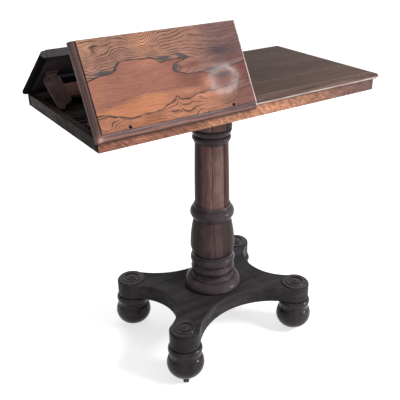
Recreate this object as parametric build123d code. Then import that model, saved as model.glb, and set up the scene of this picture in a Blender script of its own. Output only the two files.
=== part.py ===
from build123d import *
import os
from math import asin, cos, degrees, radians, sin, sqrt

# Double-sided reading table. Lengths in mm, angles in degrees. X runs along the table, Y to the back,
# Z up, and the origin is on the floor under the middle of the top.

# Table top
TOP_HEIGHT = 747.0
TOP_LENGTH = 784.0
TOP_DEPTH = 400.0
TOP_THICKNESS = 18.0
OVERHANG = 8.5
SLOPE_LENGTH = 386.0
SEAM = 0.6
QUIRK_INSET = 14.0
QUIRK_DEPTH = 1.6
FRONT_ANGLE = 62.0
REAR_ANGLE = 37.0

# Frame under the top
APRON_HEIGHT = 27.0
APRON_THICKNESS = 14.0
WELL_DEPTH = 10.0
FLOOR_THICKNESS = 12.0
MIDDLE_RAIL_WIDTH = 22.0
CROSS_RAIL_WIDTH = 18.0
CROSS_RAIL_SETBACK = 81.0
BEARER_LENGTH = 170.0
BEARER_DEPTH = 230.0
BEARER_THICKNESS = 20.0
BEARER_BEVEL = 9.0

# Struts that hold the slopes up, and the ratchet notches that they stand in
PIVOT_SETBACK = 84.0
PIVOT_DEPTH = 3.0
STRUT_REACH = 98.0
STRUT_THICKNESS = 9.0
STRUT_SIDE_GAP = 5.5
STRUT_TOP_GAP = 1.0
LEG_WIDTH = 38.0
LEG_TIP_WIDTH = 13.0
STRUT_RAIL_START = 29.0
STRUT_RAIL_WIDTH = 39.0
LEG_SHOULDER = 4.0
RECESS_SIDE_GAP = 2.5
RECESS_BACK = 15.5
RECESS_LIP = 6.0
FOOT_CLEARANCE = 0.3
NOTCH_COUNT = 5
REAR_STRUT_NOTCH = 2
NOTCH_RAMP = 8.0
NOTCH_BACK = 3.5
NOTCH_DEPTH = 3.5
NOTCH_LENGTH = 30.0

# Hinges and screws
LEAF_THICKNESS = 1.6
KNUCKLE_RADIUS = 3.0
PIN_RADIUS = 1.4
PIN_CLEARANCE = 0.05
KNUCKLE_GAP = 0.3
SLOPE_HINGE_LENGTH = 40.0
SLOPE_HINGE_LEAF = 12.0
SLOPE_HINGE_INSET = 34.5
STRUT_HINGE_LENGTH = 28.0
STRUT_HINGE_LEAF = 17.0
SCREW_HEAD_RADIUS = 2.4
SCREW_SHANK_RADIUS = 1.2
SCREW_LENGTH = 7.0
SCREW_SPACING_SHARE = 0.56
KNUCKLE_SHARE = 1 / 3
SCREW_CLEARANCE = 0.05

# Holes for the pegs of a loose book ledge
PEG_RADIUS = 2.5
PEG_DEPTH = 12.0
PEG_SPACING = 250.0
PEG_SETBACK = 10.0

# Platform
PLATFORM_TOP = 155.0
PLATFORM_THICKNESS = 44.0
FOOT_X = 186.5
FOOT_Y = 144.0
CORNER_RADIUS = 40.0
WAIST_X = 143.0
WAIST_Y = 94.5
PLATFORM_EDGE = 1.5

# Roundels on the corners of the platform
ROUNDEL_RADIUS = 37.0
ROUNDEL_HEIGHT = 3.5
ROUNDEL_EDGE = 1.5
ROUNDEL_RING_RADIUS = 27.0
ROUNDEL_RING_WIDTH = 6.0
ROUNDEL_RING_RISE = 2.5
ROUNDEL_DISH_DEPTH = 1.0
ROUNDEL_BOSS_RADIUS = 13.0
ROUNDEL_BOSS_RISE = 2.0
ROUNDEL_BUTTON_RADIUS = 8.0
ROUNDEL_BUTTON_RISE = 4.0

# Feet, from the neck under the platform down to the open rim of the bun
FOOT_NECK_RADIUS = 38.5
FOOT_NECK_HEIGHT = 4.0
FOOT_BEAD_RADIUS = 45.5
FOOT_BEAD_HEIGHT = 21.0
FOOT_BEAD_FLAT = 41.0
FOOT_GROOVE_HEIGHT = 3.0
FOOT_GROOVE_RADIUS = 40.0
FOOT_COVE_HEIGHT = 12.0
FOOT_COVE_HOLLOW = 1.5
FOOT_SHOULDER_RADIUS = 45.0
FOOT_STEP = 1.0
BUN_RADIUS = 49.5
BUN_RIM_RADIUS = 37.0
BUN_HEIGHT = 49.0
FOOT_TENON_RADIUS = 15.0
FOOT_TENON_LENGTH = 30.0
TENON_CLEARANCE = 0.1

# Castors in the recesses of the feet
WHEEL_RADIUS = 13.0
WHEEL_WIDTH = 15.0
WHEEL_CROWN = 1.5
WHEEL_TRAIL = 19.5
WHEEL_SIDE_GAP = 0.4
AXLE_RADIUS = 2.2
CASTOR_CLEARANCE = 0.06
HORN_ARM_THICKNESS = 2.6
HORN_ARM_END_RADIUS = 5.0
HORN_DISC_RADIUS = 11.5
HORN_DISC_THICKNESS = 4.0
PINTLE_RADIUS = 4.0
PINTLE_LENGTH = 22.0
CASTOR_PLATE_RADIUS = 18.0
CASTOR_PLATE_THICKNESS = 2.5
CASTOR_PLATE_GAP = 0.3
CASTOR_HEADROOM = 7.0
RECESS_RADIUS = 35.5
FRONT_LEFT_TRAIL = -121.0
FRONT_RIGHT_TRAIL = 28.0
REAR_LEFT_TRAIL = 76.0
REAR_RIGHT_TRAIL = 49.0

# Column, from the bell base up to the capital: radii, and the height of each moulding
COLUMN_X = 12.0
BELL_RADIUS = 79.5
BELL_FOOT_RADIUS = 77.0
BELL_FOOT_HEIGHT = 6.0
BELL_TOP_RADIUS = 64.0
BELL_HEIGHT = 20.0
BELL_SWELL = 4.5
SCOTIA_FILLET_RADIUS = 61.5
SCOTIA_FILLET_HEIGHT = 2.5
SCOTIA_RADIUS = 59.0
SCOTIA_HEIGHT = 18.5
SCOTIA_HOLLOW = 2.5
LOWER_RING_RADIUS = 60.5
LOWER_RING_HEIGHT = 18.5
BAND_RADIUS = 57.0
BAND_HEIGHT = 5.0
UPPER_RING_RADIUS = 62.0
UPPER_RING_HEIGHT = 27.0
RING_SWELL_SHARE = 0.25
COLLAR_RADIUS = 57.5
COLLAR_HEIGHT = 6.0
VASE_FOOT_RADIUS = 54.5
VASE_RADIUS = 61.2
VASE_NECK_RADIUS = 50.0
VASE_LOWER_HEIGHT = 31.0
VASE_UPPER_HEIGHT = 77.5
VASE_LOWER_SWELL = 2.6
VASE_UPPER_SWELL = 2.2
MID_RING_RADIUS = 60.3
MID_RING_ROOT_RADIUS = 52.5
MID_RING_HEIGHT = 31.0
MID_COVE_RADIUS = 54.0
MID_COVE_TOP_RADIUS = 49.0
MID_COVE_HEIGHT = 7.0
MID_COVE_HOLLOW = 1.3
MID_FILLET_HEIGHT = 2.0
SHAFT_FOOT_RADIUS = 46.9
SHAFT_TOP_RADIUS = 43.8
SHAFT_LENGTH = 176.0
SHAFT_SWELL = 0.6
NECK_FILLET_RADIUS = 45.8
NECK_FILLET_HEIGHT = 5.0
CAPITAL_ROOT_RADIUS = 46.4
CAPITAL_RING_RADIUS = 50.8
CAPITAL_RING_HEIGHT = 16.0
OVOLO_RADIUS = 52.8
OVOLO_HEIGHT = 15.0
OVOLO_SWELL = 2.0
UNDERCUT_RADIUS = 50.0
UNDERCUT_HEIGHT = 6.0
CAPITAL_DRUM_RADIUS = 53.5
CAPITAL_FLARE_HEIGHT = 22.0
CAPITAL_HOLLOW_SHARE = 0.2
ABACUS_RADIUS = 72.0
ABACUS_HEIGHT = 12.0
COLUMN_TENON_RADIUS = 22.0
COLUMN_TENON_LENGTH = 34.0
BEARER_TENON_LENGTH = 14.0

# One overrun serves all cuts
OVERRUN = 5.0

# Places that follow from the sizes above
NOTCH_STEP = (FRONT_ANGLE - REAR_ANGLE) / REAR_STRUT_NOTCH
RIM_Z = TOP_HEIGHT - TOP_THICKNESS
FLOOR_Z = RIM_Z - WELL_DEPTH
FLOOR_BOTTOM = FLOOR_Z - FLOOR_THICKNESS
APRON_BOTTOM = RIM_Z - APRON_HEIGHT
BEARER_BOTTOM = FLOOR_BOTTOM - BEARER_THICKNESS
LEFT_END = -TOP_LENGTH / 2
FRONT_EDGE = -TOP_DEPTH / 2
SLOPE_RIGHT = LEFT_END + SLOPE_LENGTH
FRAME_LEFT = LEFT_END + OVERHANG
FRAME_FRONT = FRONT_EDGE + OVERHANG
WELL_LEFT = FRAME_LEFT + APRON_THICKNESS
WELL_FRONT = FRAME_FRONT + APRON_THICKNESS
WELL_RIGHT = SLOPE_RIGHT - MIDDLE_RAIL_WIDTH / 2
NOSE_RADIUS = (TOP_THICKNESS - QUIRK_DEPTH) / 2
SLOPE_FACE_MIDDLE = (LEFT_END + QUIRK_INSET + SLOPE_RIGHT) / 2
PLATFORM_BOTTOM = PLATFORM_TOP - PLATFORM_THICKNESS
HINGE_SEAT = KNUCKLE_RADIUS + KNUCKLE_GAP

# Strut linkage: the angle between a slope and the line from its strut's pivot to the strut's foot
FOOT_ROUND = STRUT_THICKNESS / 2
FOOT_DROP = WELL_DEPTH - FOOT_ROUND - FOOT_CLEARANCE
LEG_OFFSET = HINGE_SEAT + FOOT_ROUND


def foot_angle(slope_angle):
    """Angle below the horizontal at which a strut's foot would just stand on the well floor."""
    turn = radians(slope_angle)
    height = PIVOT_SETBACK * sin(turn) + PIVOT_DEPTH * cos(turn) + FOOT_DROP
    return degrees(asin(height / STRUT_REACH))


STRUT_RATIO = 1 + (foot_angle(FRONT_ANGLE) - foot_angle(0)) / FRONT_ANGLE
LEG_TILT = degrees(asin(LEG_OFFSET / STRUT_REACH))
FOLDED_ANGLE = foot_angle(0) - LEG_TILT
STRUT_LEFT = WELL_LEFT + STRUT_SIDE_GAP
STRUT_RIGHT = WELL_RIGHT - STRUT_SIDE_GAP
STRUT_MIDDLE = (STRUT_LEFT + STRUT_RIGHT) / 2
LEG_LENGTH = STRUT_REACH * cos(radians(LEG_TILT)) + FOOT_ROUND
PIVOT_Y = FRAME_FRONT + PIVOT_SETBACK
PIVOT_Z = RIM_Z + PIVOT_DEPTH
RECESS_DEPTH = PIVOT_DEPTH + HINGE_SEAT

# Castor stack
RECESS_CEILING = (
    2 * WHEEL_RADIUS + CASTOR_HEADROOM + HORN_DISC_THICKNESS + CASTOR_PLATE_GAP + CASTOR_PLATE_THICKNESS
)
FOOT_CORNERS = {
    "front_left": (COLUMN_X - FOOT_X, -FOOT_Y, FRONT_LEFT_TRAIL),
    "front_right": (COLUMN_X + FOOT_X, -FOOT_Y, FRONT_RIGHT_TRAIL),
    "rear_left": (COLUMN_X - FOOT_X, FOOT_Y, REAR_LEFT_TRAIL),
    "rear_right": (COLUMN_X + FOOT_X, FOOT_Y, REAR_RIGHT_TRAIL),
}


def block(x_range, y_range, z_range):
    """Box between two values on each axis."""
    low = (x_range[0], y_range[0], z_range[0])
    size = (x_range[1] - x_range[0], y_range[1] - y_range[0], z_range[1] - z_range[0])
    return Pos(*low) * Box(*size, align=(Align.MIN, Align.MIN, Align.MIN))


def rod(radius, length):
    """Upright cylinder that stands on the origin."""
    return Cylinder(radius, length, align=(Align.CENTER, Align.CENTER, Align.MIN))


def cross_rod(radius, length):
    """Cylinder along X, centred on the origin."""
    return Rot(0, 90, 0) * Cylinder(radius, length)


class Turning:
    """Half outline of a turned piece, drawn from the bottom up as radius and height."""

    def __init__(self, radius, height):
        self.bottom = (radius, height)
        self.here = (radius, height)
        self.edges = []

    def line(self, radius, rise=0):
        there = (radius, self.here[1] + rise)
        self.edges.append(Line(self.here, there))
        self.here = there
        return self

    def arc(self, radius, rise, swell):
        """Arc whose middle lies outside the straight line by the swell."""
        there = (radius, self.here[1] + rise)
        middle = ((self.here[0] + radius) / 2 + swell, self.here[1] + rise / 2)
        self.edges.append(ThreePointArc(self.here, middle, there))
        self.here = there
        return self

    def dome(self, rise):
        """Round cap from here up to the axis."""
        radius, height = self.here
        ball_radius = (radius**2 + rise**2) / (2 * rise)
        half_turn = asin(radius / ball_radius) / 2
        shoulder_height = height + rise - ball_radius * (1 - cos(half_turn))
        crown = (0, height + rise)
        self.edges.append(ThreePointArc(self.here, (ball_radius * sin(half_turn), shoulder_height), crown))
        self.here = crown
        return self

    def swelling(self, radius, rise):
        """Round ring of the given greatest radius, raised from its ends by a share of its height."""
        swell = rise * RING_SWELL_SHARE
        return self.line(radius - swell).arc(radius - swell, rise, swell)

    def solid(self):
        axis_points = [(0, self.here[1]), (0, self.bottom[1])]
        if self.here[0] > 0:
            axis_points.insert(0, self.here)
        outline = make_face(self.edges + [Polyline(*axis_points, self.bottom)])
        return revolve(Plane.XZ * outline, Axis.Z)


def nose_cutter(length):
    """What a moulding plane takes off an edge along X: a quirk on top and a round nose under it."""
    top = TOP_THICKNESS - QUIRK_DEPTH
    outside = Polyline(
        (NOSE_RADIUS, 0),
        (NOSE_RADIUS, -OVERRUN),
        (-OVERRUN, -OVERRUN),
        (-OVERRUN, TOP_THICKNESS + OVERRUN),
        (QUIRK_INSET, TOP_THICKNESS + OVERRUN),
        (QUIRK_INSET, top),
        (NOSE_RADIUS, top),
    )
    nose = ThreePointArc((NOSE_RADIUS, top), (0, NOSE_RADIUS), (NOSE_RADIUS, 0))
    cutter = extrude(Plane.YZ * make_face([outside, nose]), length + 2 * OVERRUN)
    return Pos(-OVERRUN, 0, 0) * cutter


def fixed_top():
    left, right = SLOPE_RIGHT + SEAM, -LEFT_END
    board = block((left, right), (FRONT_EDGE, -FRONT_EDGE), (RIM_Z, TOP_HEIGHT))
    board -= Pos(left, FRONT_EDGE, RIM_Z) * nose_cutter(right - left)
    board -= Pos(right, FRONT_EDGE, RIM_Z) * Rot(0, 0, 90) * nose_cutter(TOP_DEPTH)
    board -= Pos(right, -FRONT_EDGE, RIM_Z) * Rot(0, 0, 180) * nose_cutter(right - left)
    return board


def screw_outline(extra):
    """Countersunk screw that points down from its flat head at the origin, as radius and height."""
    head_height = SCREW_HEAD_RADIUS - SCREW_SHANK_RADIUS
    return Polyline(
        (0, 0),
        (SCREW_HEAD_RADIUS + extra, 0),
        (SCREW_SHANK_RADIUS + extra, -head_height),
        (SCREW_SHANK_RADIUS + extra, -SCREW_LENGTH - extra),
        (0, -SCREW_LENGTH - extra),
        close=True,
    )


def screw(extra=0):
    return revolve(Plane.XZ * make_face(screw_outline(extra)), Axis.Z)


def leaf_screws(length, width, seat, extra=0):
    """Two screws through a hinge leaf, driven towards +Z."""
    head = Pos(0, (HINGE_SEAT + width) / 2, seat - LEAF_THICKNESS) * Rot(180, 0, 0) * screw(extra)
    reach = length * SCREW_SPACING_SHARE / 2
    return [Pos(side * reach, 0, 0) * head for side in (-1, 1)]


def knuckle_spans(length, middle):
    """X ranges of the knuckles of one leaf: the middle third, or the two outer ones."""
    reach = length * KNUCKLE_SHARE / 2
    if middle:
        return [(-reach + KNUCKLE_GAP, reach - KNUCKLE_GAP)]
    return [(-length / 2, -reach), (reach, length / 2)]


def hinge_leaf(length, width, seat, middle):
    """Leaf with its knuckles round the X axis; it reaches along +Y and is let in towards +Z."""
    layer = (seat - LEAF_THICKNESS, seat)
    leaf = block((-length / 2, length / 2), (HINGE_SEAT, width), layer)
    for low, high in knuckle_spans(length, middle):
        leaf += block((low, high), (0, HINGE_SEAT), layer)
        leaf += Pos((low + high) / 2, 0, 0) * cross_rod(KNUCKLE_RADIUS, high - low)
    leaf -= cross_rod(PIN_RADIUS + PIN_CLEARANCE, length + OVERRUN)
    for hole in leaf_screws(length, width, seat, SCREW_CLEARANCE):
        leaf -= hole
    return leaf


def hinge_pocket(length, width, seat):
    """Room that a let-in leaf and its knuckles need in the wood."""
    pocket = block((-length / 2, length / 2), (0, width), (seat - LEAF_THICKNESS, seat))
    pocket += cross_rod(HINGE_SEAT, length + 2 * KNUCKLE_GAP)
    for hole in leaf_screws(length, width, seat, SCREW_CLEARANCE):
        pocket += hole
    return pocket


def slope_hinge_places():
    """Frames of the two hinges of the front slope, on the outer top edge of the apron rail."""
    middles = (LEFT_END + SLOPE_HINGE_INSET, SLOPE_RIGHT - SLOPE_HINGE_INSET)
    return [Pos(middle, FRAME_FRONT, RIM_Z) for middle in middles]


def slope_board():
    """Front slope, lying flat."""
    board = block((LEFT_END, SLOPE_RIGHT), (FRONT_EDGE, -SEAM), (RIM_Z, TOP_HEIGHT))
    board -= Pos(LEFT_END, FRONT_EDGE, RIM_Z) * nose_cutter(SLOPE_LENGTH)
    board -= Pos(LEFT_END, 0, RIM_Z) * Rot(0, 0, -90) * nose_cutter(TOP_DEPTH / 2)
    board -= block(
        (STRUT_LEFT - RECESS_SIDE_GAP, STRUT_RIGHT + RECESS_SIDE_GAP),
        (PIVOT_Y - RECESS_BACK, -RECESS_LIP),
        (RIM_Z - OVERRUN, RIM_Z + RECESS_DEPTH),
    )
    for place in slope_hinge_places():
        board -= place * hinge_pocket(SLOPE_HINGE_LENGTH, SLOPE_HINGE_LEAF, LEAF_THICKNESS)
    for place in strut_hinge_places():
        for hole in leaf_screws(STRUT_HINGE_LENGTH, STRUT_HINGE_LEAF, HINGE_SEAT, SCREW_CLEARANCE):
            board -= place * hole
    peg = rod(PEG_RADIUS, PEG_DEPTH + OVERRUN)
    for side in (-1, 1):
        x = SLOPE_FACE_MIDDLE + side * PEG_SPACING / 2
        board -= Pos(x, FRAME_FRONT + PEG_SETBACK, TOP_HEIGHT - PEG_DEPTH) * peg
    return board


def apron_rail():
    """Front apron rail, with the pockets of the slope hinges in its top edge."""
    rail = block((FRAME_LEFT, -FRAME_LEFT), (FRAME_FRONT, WELL_FRONT), (APRON_BOTTOM, RIM_Z))
    for place in slope_hinge_places():
        rail -= place * Rot(0, 180, 0) * hinge_pocket(SLOPE_HINGE_LENGTH, SLOPE_HINGE_LEAF, LEAF_THICKNESS)
    return rail


def end_rail(side):
    inner = side * -WELL_LEFT
    outer = side * -FRAME_LEFT
    return block(sorted((inner, outer)), (WELL_FRONT, -WELL_FRONT), (APRON_BOTTOM, RIM_Z))


def inner_rail(middle, width):
    """Rail from the front apron rail to the rear one."""
    return block((middle - width / 2, middle + width / 2), (WELL_FRONT, -WELL_FRONT), (FLOOR_BOTTOM, RIM_Z))


def strut_foot_y(slope_angle):
    """Place of the front strut's foot when the front slope stands at an angle."""
    turn = radians(slope_angle)
    pivot = FRAME_FRONT + PIVOT_SETBACK * cos(turn) - PIVOT_DEPTH * sin(turn)
    return pivot + STRUT_REACH * cos(radians(foot_angle(slope_angle)))


def ratchet_notch():
    """Saw-tooth groove under the foot of a front strut, at the origin: a ramp, then an upright wall."""
    tooth = Polyline(
        (-NOTCH_RAMP, 0),
        (-NOTCH_RAMP, OVERRUN),
        (NOTCH_BACK, OVERRUN),
        (NOTCH_BACK, -NOTCH_DEPTH),
        close=True,
    )
    return Pos(-NOTCH_LENGTH / 2, 0, 0) * extrude(Plane.YZ * make_face(tooth), NOTCH_LENGTH)


def well_floor():
    """Board that closes the well, with a row of ratchet notches for each leg of both struts."""
    board = block((WELL_LEFT, WELL_RIGHT), (WELL_FRONT, -WELL_FRONT), (FLOOR_BOTTOM, FLOOR_Z))
    angles = [FRONT_ANGLE - step * NOTCH_STEP for step in range(NOTCH_COUNT)]
    for x in (STRUT_LEFT + LEG_WIDTH / 2, STRUT_RIGHT - LEG_WIDTH / 2):
        for angle in angles:
            notch = Pos(x, strut_foot_y(angle), FLOOR_Z) * ratchet_notch()
            board -= notch
            board -= notch.mirror(Plane.XZ)
    return board


def bearer():
    """Board that the column carries, with bevelled lower edges."""
    half_x, half_y = BEARER_LENGTH / 2, BEARER_DEPTH / 2
    board = block((-half_x, half_x), (-half_y, half_y), (BEARER_BOTTOM, FLOOR_BOTTOM))
    board = chamfer(board.faces().sort_by(Axis.Z)[0].edges(), BEARER_BEVEL)
    mortise = rod(COLUMN_TENON_RADIUS + TENON_CLEARANCE, BEARER_TENON_LENGTH + TENON_CLEARANCE)
    return Pos(COLUMN_X, 0, 0) * (board - Pos(0, 0, BEARER_BOTTOM) * mortise)


def strut_hinge_places():
    """Frames of the hinges of the front strut, on the slope that lies flat."""
    reach = (STRUT_RIGHT - STRUT_LEFT - LEG_WIDTH) / 2
    return [Pos(STRUT_MIDDLE + side * reach, PIVOT_Y, PIVOT_Z) for side in (-1, 1)]


def strut_side_view():
    """Outline of the strut from the side, as distance from the pivot and height: round at both ends."""
    top, bottom = -HINGE_SEAT, -HINGE_SEAT - STRUT_THICKNESS
    foot = LEG_LENGTH - FOOT_ROUND
    round_top = STRUT_TOP_GAP + STRUT_THICKNESS
    bulge = round_top - STRUT_THICKNESS * cos(radians(45))
    return make_face(
        [
            Line((STRUT_TOP_GAP, top), (foot, top)),
            ThreePointArc((foot, top), (LEG_LENGTH, -LEG_OFFSET), (foot, bottom)),
            Line((foot, bottom), (round_top, bottom)),
            ThreePointArc(
                (round_top, bottom),
                (bulge, top - STRUT_THICKNESS * sin(radians(45))),
                (STRUT_TOP_GAP, top),
            ),
        ]
    )


def strut_leg():
    """Left leg of a strut: straight outside, drawn in to a narrow tip inside, pivot line on X."""
    shoulder = STRUT_RAIL_START + STRUT_RAIL_WIDTH + LEG_SHOULDER
    outline = make_face(
        [
            Polyline(
                (LEG_TIP_WIDTH, LEG_LENGTH),
                (0, LEG_LENGTH),
                (0, 0),
                (LEG_WIDTH, 0),
                (LEG_WIDTH, shoulder),
            ),
            Spline(
                (LEG_WIDTH, shoulder),
                (LEG_TIP_WIDTH, LEG_LENGTH),
                tangents=[(0, 1), (0, 1)],
            ),
        ]
    )
    depth = HINGE_SEAT + STRUT_THICKNESS
    plan = Pos(0, 0, -depth) * extrude(outline, depth)
    return plan & extrude(Plane.YZ * strut_side_view(), LEG_WIDTH)


def drill_strut_leg(leg):
    """Leg with the screw holes of its hinge leaf."""
    for hole in leaf_screws(STRUT_HINGE_LENGTH, STRUT_HINGE_LEAF, HINGE_SEAT, SCREW_CLEARANCE):
        leg -= Pos(LEG_WIDTH / 2, 0, 0) * hole.mirror(Plane.XY)
    return leg


def strut_pieces():
    """Front strut in its own frame: pivot line on X, legs along +Y."""
    half = (STRUT_RIGHT - STRUT_LEFT) / 2
    left = Pos(-half, 0, 0) * drill_strut_leg(strut_leg())
    rail = block(
        (-half + LEG_WIDTH, half - LEG_WIDTH),
        (STRUT_RAIL_START, STRUT_RAIL_START + STRUT_RAIL_WIDTH),
        (-HINGE_SEAT - STRUT_THICKNESS, -HINGE_SEAT),
    )
    leaf = hinge_leaf(STRUT_HINGE_LENGTH, STRUT_HINGE_LEAF, HINGE_SEAT, True).mirror(Plane.XY)
    screws = [s.mirror(Plane.XY) for s in leaf_screws(STRUT_HINGE_LENGTH, STRUT_HINGE_LEAF, HINGE_SEAT)]
    reach = half - LEG_WIDTH / 2
    return {
        "strut_left_leg": [left],
        "strut_right_leg": [left.mirror(Plane.YZ)],
        "strut_rail": [rail],
        "strut_leaves": [Pos(side * reach, 0, 0) * leaf for side in (-1, 1)],
        "strut_leaf_screws": [Pos(side * reach, 0, 0) * s for side in (-1, 1) for s in screws],
    }


def slope_pieces():
    """Front slope and what is fixed to it, lying flat."""
    slope_leaf = hinge_leaf(SLOPE_HINGE_LENGTH, SLOPE_HINGE_LEAF, LEAF_THICKNESS, True)
    slope_screws = leaf_screws(SLOPE_HINGE_LENGTH, SLOPE_HINGE_LEAF, LEAF_THICKNESS)
    seat_leaf = hinge_leaf(STRUT_HINGE_LENGTH, STRUT_HINGE_LEAF, HINGE_SEAT, False)
    seat_screws = leaf_screws(STRUT_HINGE_LENGTH, STRUT_HINGE_LEAF, HINGE_SEAT)
    pin = cross_rod(PIN_RADIUS, STRUT_HINGE_LENGTH)
    low, high = slope_hinge_places(), strut_hinge_places()
    return {
        "slope": [slope_board()],
        "slope_hinge_leaves": [place * slope_leaf for place in low],
        "slope_hinge_screws": [place * s for place in low for s in slope_screws],
        "strut_hinge_leaves": [place * seat_leaf for place in high],
        "strut_hinge_screws": [place * s for place in high for s in seat_screws],
        "strut_hinge_pins": [place * pin for place in high],
    }


def raised_side(name, angle):
    """Slope and strut of one side, turned to their places; the rear ones are mirrored."""
    slope_axis = Axis((0, FRAME_FRONT, RIM_Z), (1, 0, 0))
    pivot_axis = Axis((0, PIVOT_Y, PIVOT_Z), (1, 0, 0))
    strut_turn = FOLDED_ANGLE + STRUT_RATIO * angle
    pivot = Pos(STRUT_MIDDLE, PIVOT_Y, PIVOT_Z)
    pieces = slope_pieces()
    for piece_name, solids in strut_pieces().items():
        pieces[piece_name] = [(pivot * solid).rotate(pivot_axis, -strut_turn) for solid in solids]
    placed_pieces = {}
    for piece_name, solids in pieces.items():
        turned = [solid.rotate(slope_axis, angle) for solid in solids]
        if name == "rear":
            turned = [solid.mirror(Plane.XZ) for solid in turned]
        placed_pieces[f"{name}_{piece_name}"] = turned
    return placed_pieces


def table_hinge_pieces():
    """Leaves, pins and screws of the slope hinges that stay with the table."""
    leaf = Rot(0, 180, 0) * hinge_leaf(SLOPE_HINGE_LENGTH, SLOPE_HINGE_LEAF, LEAF_THICKNESS, False)
    pin = cross_rod(PIN_RADIUS, SLOPE_HINGE_LENGTH)
    screws = [Rot(0, 180, 0) * s for s in leaf_screws(SLOPE_HINGE_LENGTH, SLOPE_HINGE_LEAF, LEAF_THICKNESS)]
    sets = {"table_hinge_leaves": [leaf], "table_hinge_pins": [pin], "table_hinge_screws": screws}
    pieces = {}
    for name, solids in sets.items():
        front = [place * solid for place in slope_hinge_places() for solid in solids]
        pieces[name] = front + [solid.mirror(Plane.XZ) for solid in front]
    return pieces


def hollow_radius(waist, along, across):
    """Radius of the hollow side that passes the waist and runs smoothly into both round corners."""
    gap = across - waist
    return (along**2 + gap**2 - CORNER_RADIUS**2) / (2 * (gap + CORNER_RADIUS))


def platform_outline():
    """Four hollow sides, each touching the round corners at its ends."""
    front_radius = hollow_radius(WAIST_Y, FOOT_X, FOOT_Y)
    side_radius = hollow_radius(WAIST_X, FOOT_Y, FOOT_X)
    front_centre = Vector(0, -WAIST_Y - front_radius)
    side_centre = Vector(-WAIST_X - side_radius, 0)
    corner = Vector(-FOOT_X, -FOOT_Y)
    front_touch = corner + (front_centre - corner).normalized() * CORNER_RADIUS
    side_touch = corner + (side_centre - corner).normalized() * CORNER_RADIUS
    outermost = corner + (corner - Vector(0, 0)).normalized() * CORNER_RADIUS
    edges = []
    for x_sign in (-1, 1):
        for y_sign in (-1, 1):
            points = (side_touch, outermost, front_touch)
            edges.append(ThreePointArc(*[(-x_sign * point.X, -y_sign * point.Y) for point in points]))
    for sign in (-1, 1):
        left_end = (front_touch.X, sign * front_touch.Y)
        right_end = (-front_touch.X, sign * front_touch.Y)
        edges.append(ThreePointArc(left_end, (0, sign * -WAIST_Y), right_end))
        near_end = (sign * side_touch.X, side_touch.Y)
        far_end = (sign * side_touch.X, -side_touch.Y)
        edges.append(ThreePointArc(near_end, (sign * -WAIST_X, 0), far_end))
    return make_face(edges)


def platform():
    board = Pos(0, 0, PLATFORM_BOTTOM) * extrude(platform_outline(), PLATFORM_THICKNESS)
    board = chamfer(board.faces().sort_by(Axis.Z)[-1].edges(), PLATFORM_EDGE)
    tenon_z = PLATFORM_TOP - COLUMN_TENON_LENGTH - TENON_CLEARANCE
    board -= Pos(0, 0, tenon_z) * rod(COLUMN_TENON_RADIUS + TENON_CLEARANCE, COLUMN_TENON_LENGTH + OVERRUN)
    board = Pos(COLUMN_X, 0, 0) * board
    mortise = rod(FOOT_TENON_RADIUS + TENON_CLEARANCE, FOOT_TENON_LENGTH + TENON_CLEARANCE)
    for x, y, _ in FOOT_CORNERS.values():
        board -= Pos(x, y, PLATFORM_BOTTOM) * mortise
    return board


def roundel():
    """Turned disc with a raised ring and a button, standing on the origin."""
    ring_inside = ROUNDEL_RING_RADIUS - ROUNDEL_RING_WIDTH
    turning = Turning(ROUNDEL_RADIUS, 0)
    turning.line(ROUNDEL_RADIUS, ROUNDEL_HEIGHT - ROUNDEL_EDGE)
    turning.arc(ROUNDEL_RADIUS - ROUNDEL_EDGE, ROUNDEL_EDGE, ROUNDEL_EDGE * (sqrt(2) - 1) / 2)
    turning.line(ROUNDEL_RING_RADIUS)
    ring_top = (ROUNDEL_RING_RADIUS - ROUNDEL_RING_WIDTH / 2, ROUNDEL_HEIGHT + ROUNDEL_RING_RISE)
    turning.edges.append(ThreePointArc(turning.here, ring_top, (ring_inside, ROUNDEL_HEIGHT)))
    turning.here = (ring_inside, ROUNDEL_HEIGHT)
    turning.line(ring_inside, -ROUNDEL_DISH_DEPTH)
    turning.line(ROUNDEL_BOSS_RADIUS)
    turning.line(ROUNDEL_BOSS_RADIUS, ROUNDEL_BOSS_RISE)
    turning.line(ROUNDEL_BUTTON_RADIUS)
    return turning.dome(ROUNDEL_BUTTON_RISE).solid()


def foot():
    """Turned foot on the Z axis: bun with an open rim, cove, bead and neck, and a tenon above them."""
    neck_z = PLATFORM_BOTTOM - FOOT_NECK_HEIGHT
    bead_z = neck_z - FOOT_BEAD_HEIGHT
    groove_z = bead_z - FOOT_GROOVE_HEIGHT
    shoulder_z = groove_z - FOOT_COVE_HEIGHT
    swell = BUN_RADIUS - (BUN_RIM_RADIUS + FOOT_SHOULDER_RADIUS) / 2
    turning = Turning(BUN_RIM_RADIUS, shoulder_z - BUN_HEIGHT)
    turning.arc(FOOT_SHOULDER_RADIUS, BUN_HEIGHT, swell)
    turning.line(FOOT_SHOULDER_RADIUS - FOOT_STEP)
    turning.arc(FOOT_GROOVE_RADIUS, FOOT_COVE_HEIGHT, -FOOT_COVE_HOLLOW)
    turning.line(FOOT_GROOVE_RADIUS, FOOT_GROOVE_HEIGHT)
    turning.line(FOOT_BEAD_FLAT)
    turning.arc(FOOT_BEAD_FLAT, FOOT_BEAD_HEIGHT, FOOT_BEAD_RADIUS - FOOT_BEAD_FLAT)
    turning.line(FOOT_NECK_RADIUS)
    turning.line(FOOT_NECK_RADIUS, FOOT_NECK_HEIGHT)
    turning.line(FOOT_TENON_RADIUS)
    turning.line(FOOT_TENON_RADIUS, FOOT_TENON_LENGTH)
    solid = turning.solid()
    solid -= rod(RECESS_RADIUS, RECESS_CEILING)
    return solid - rod(PINTLE_RADIUS + CASTOR_PLATE_GAP, RECESS_CEILING + PINTLE_LENGTH + OVERRUN)


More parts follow.
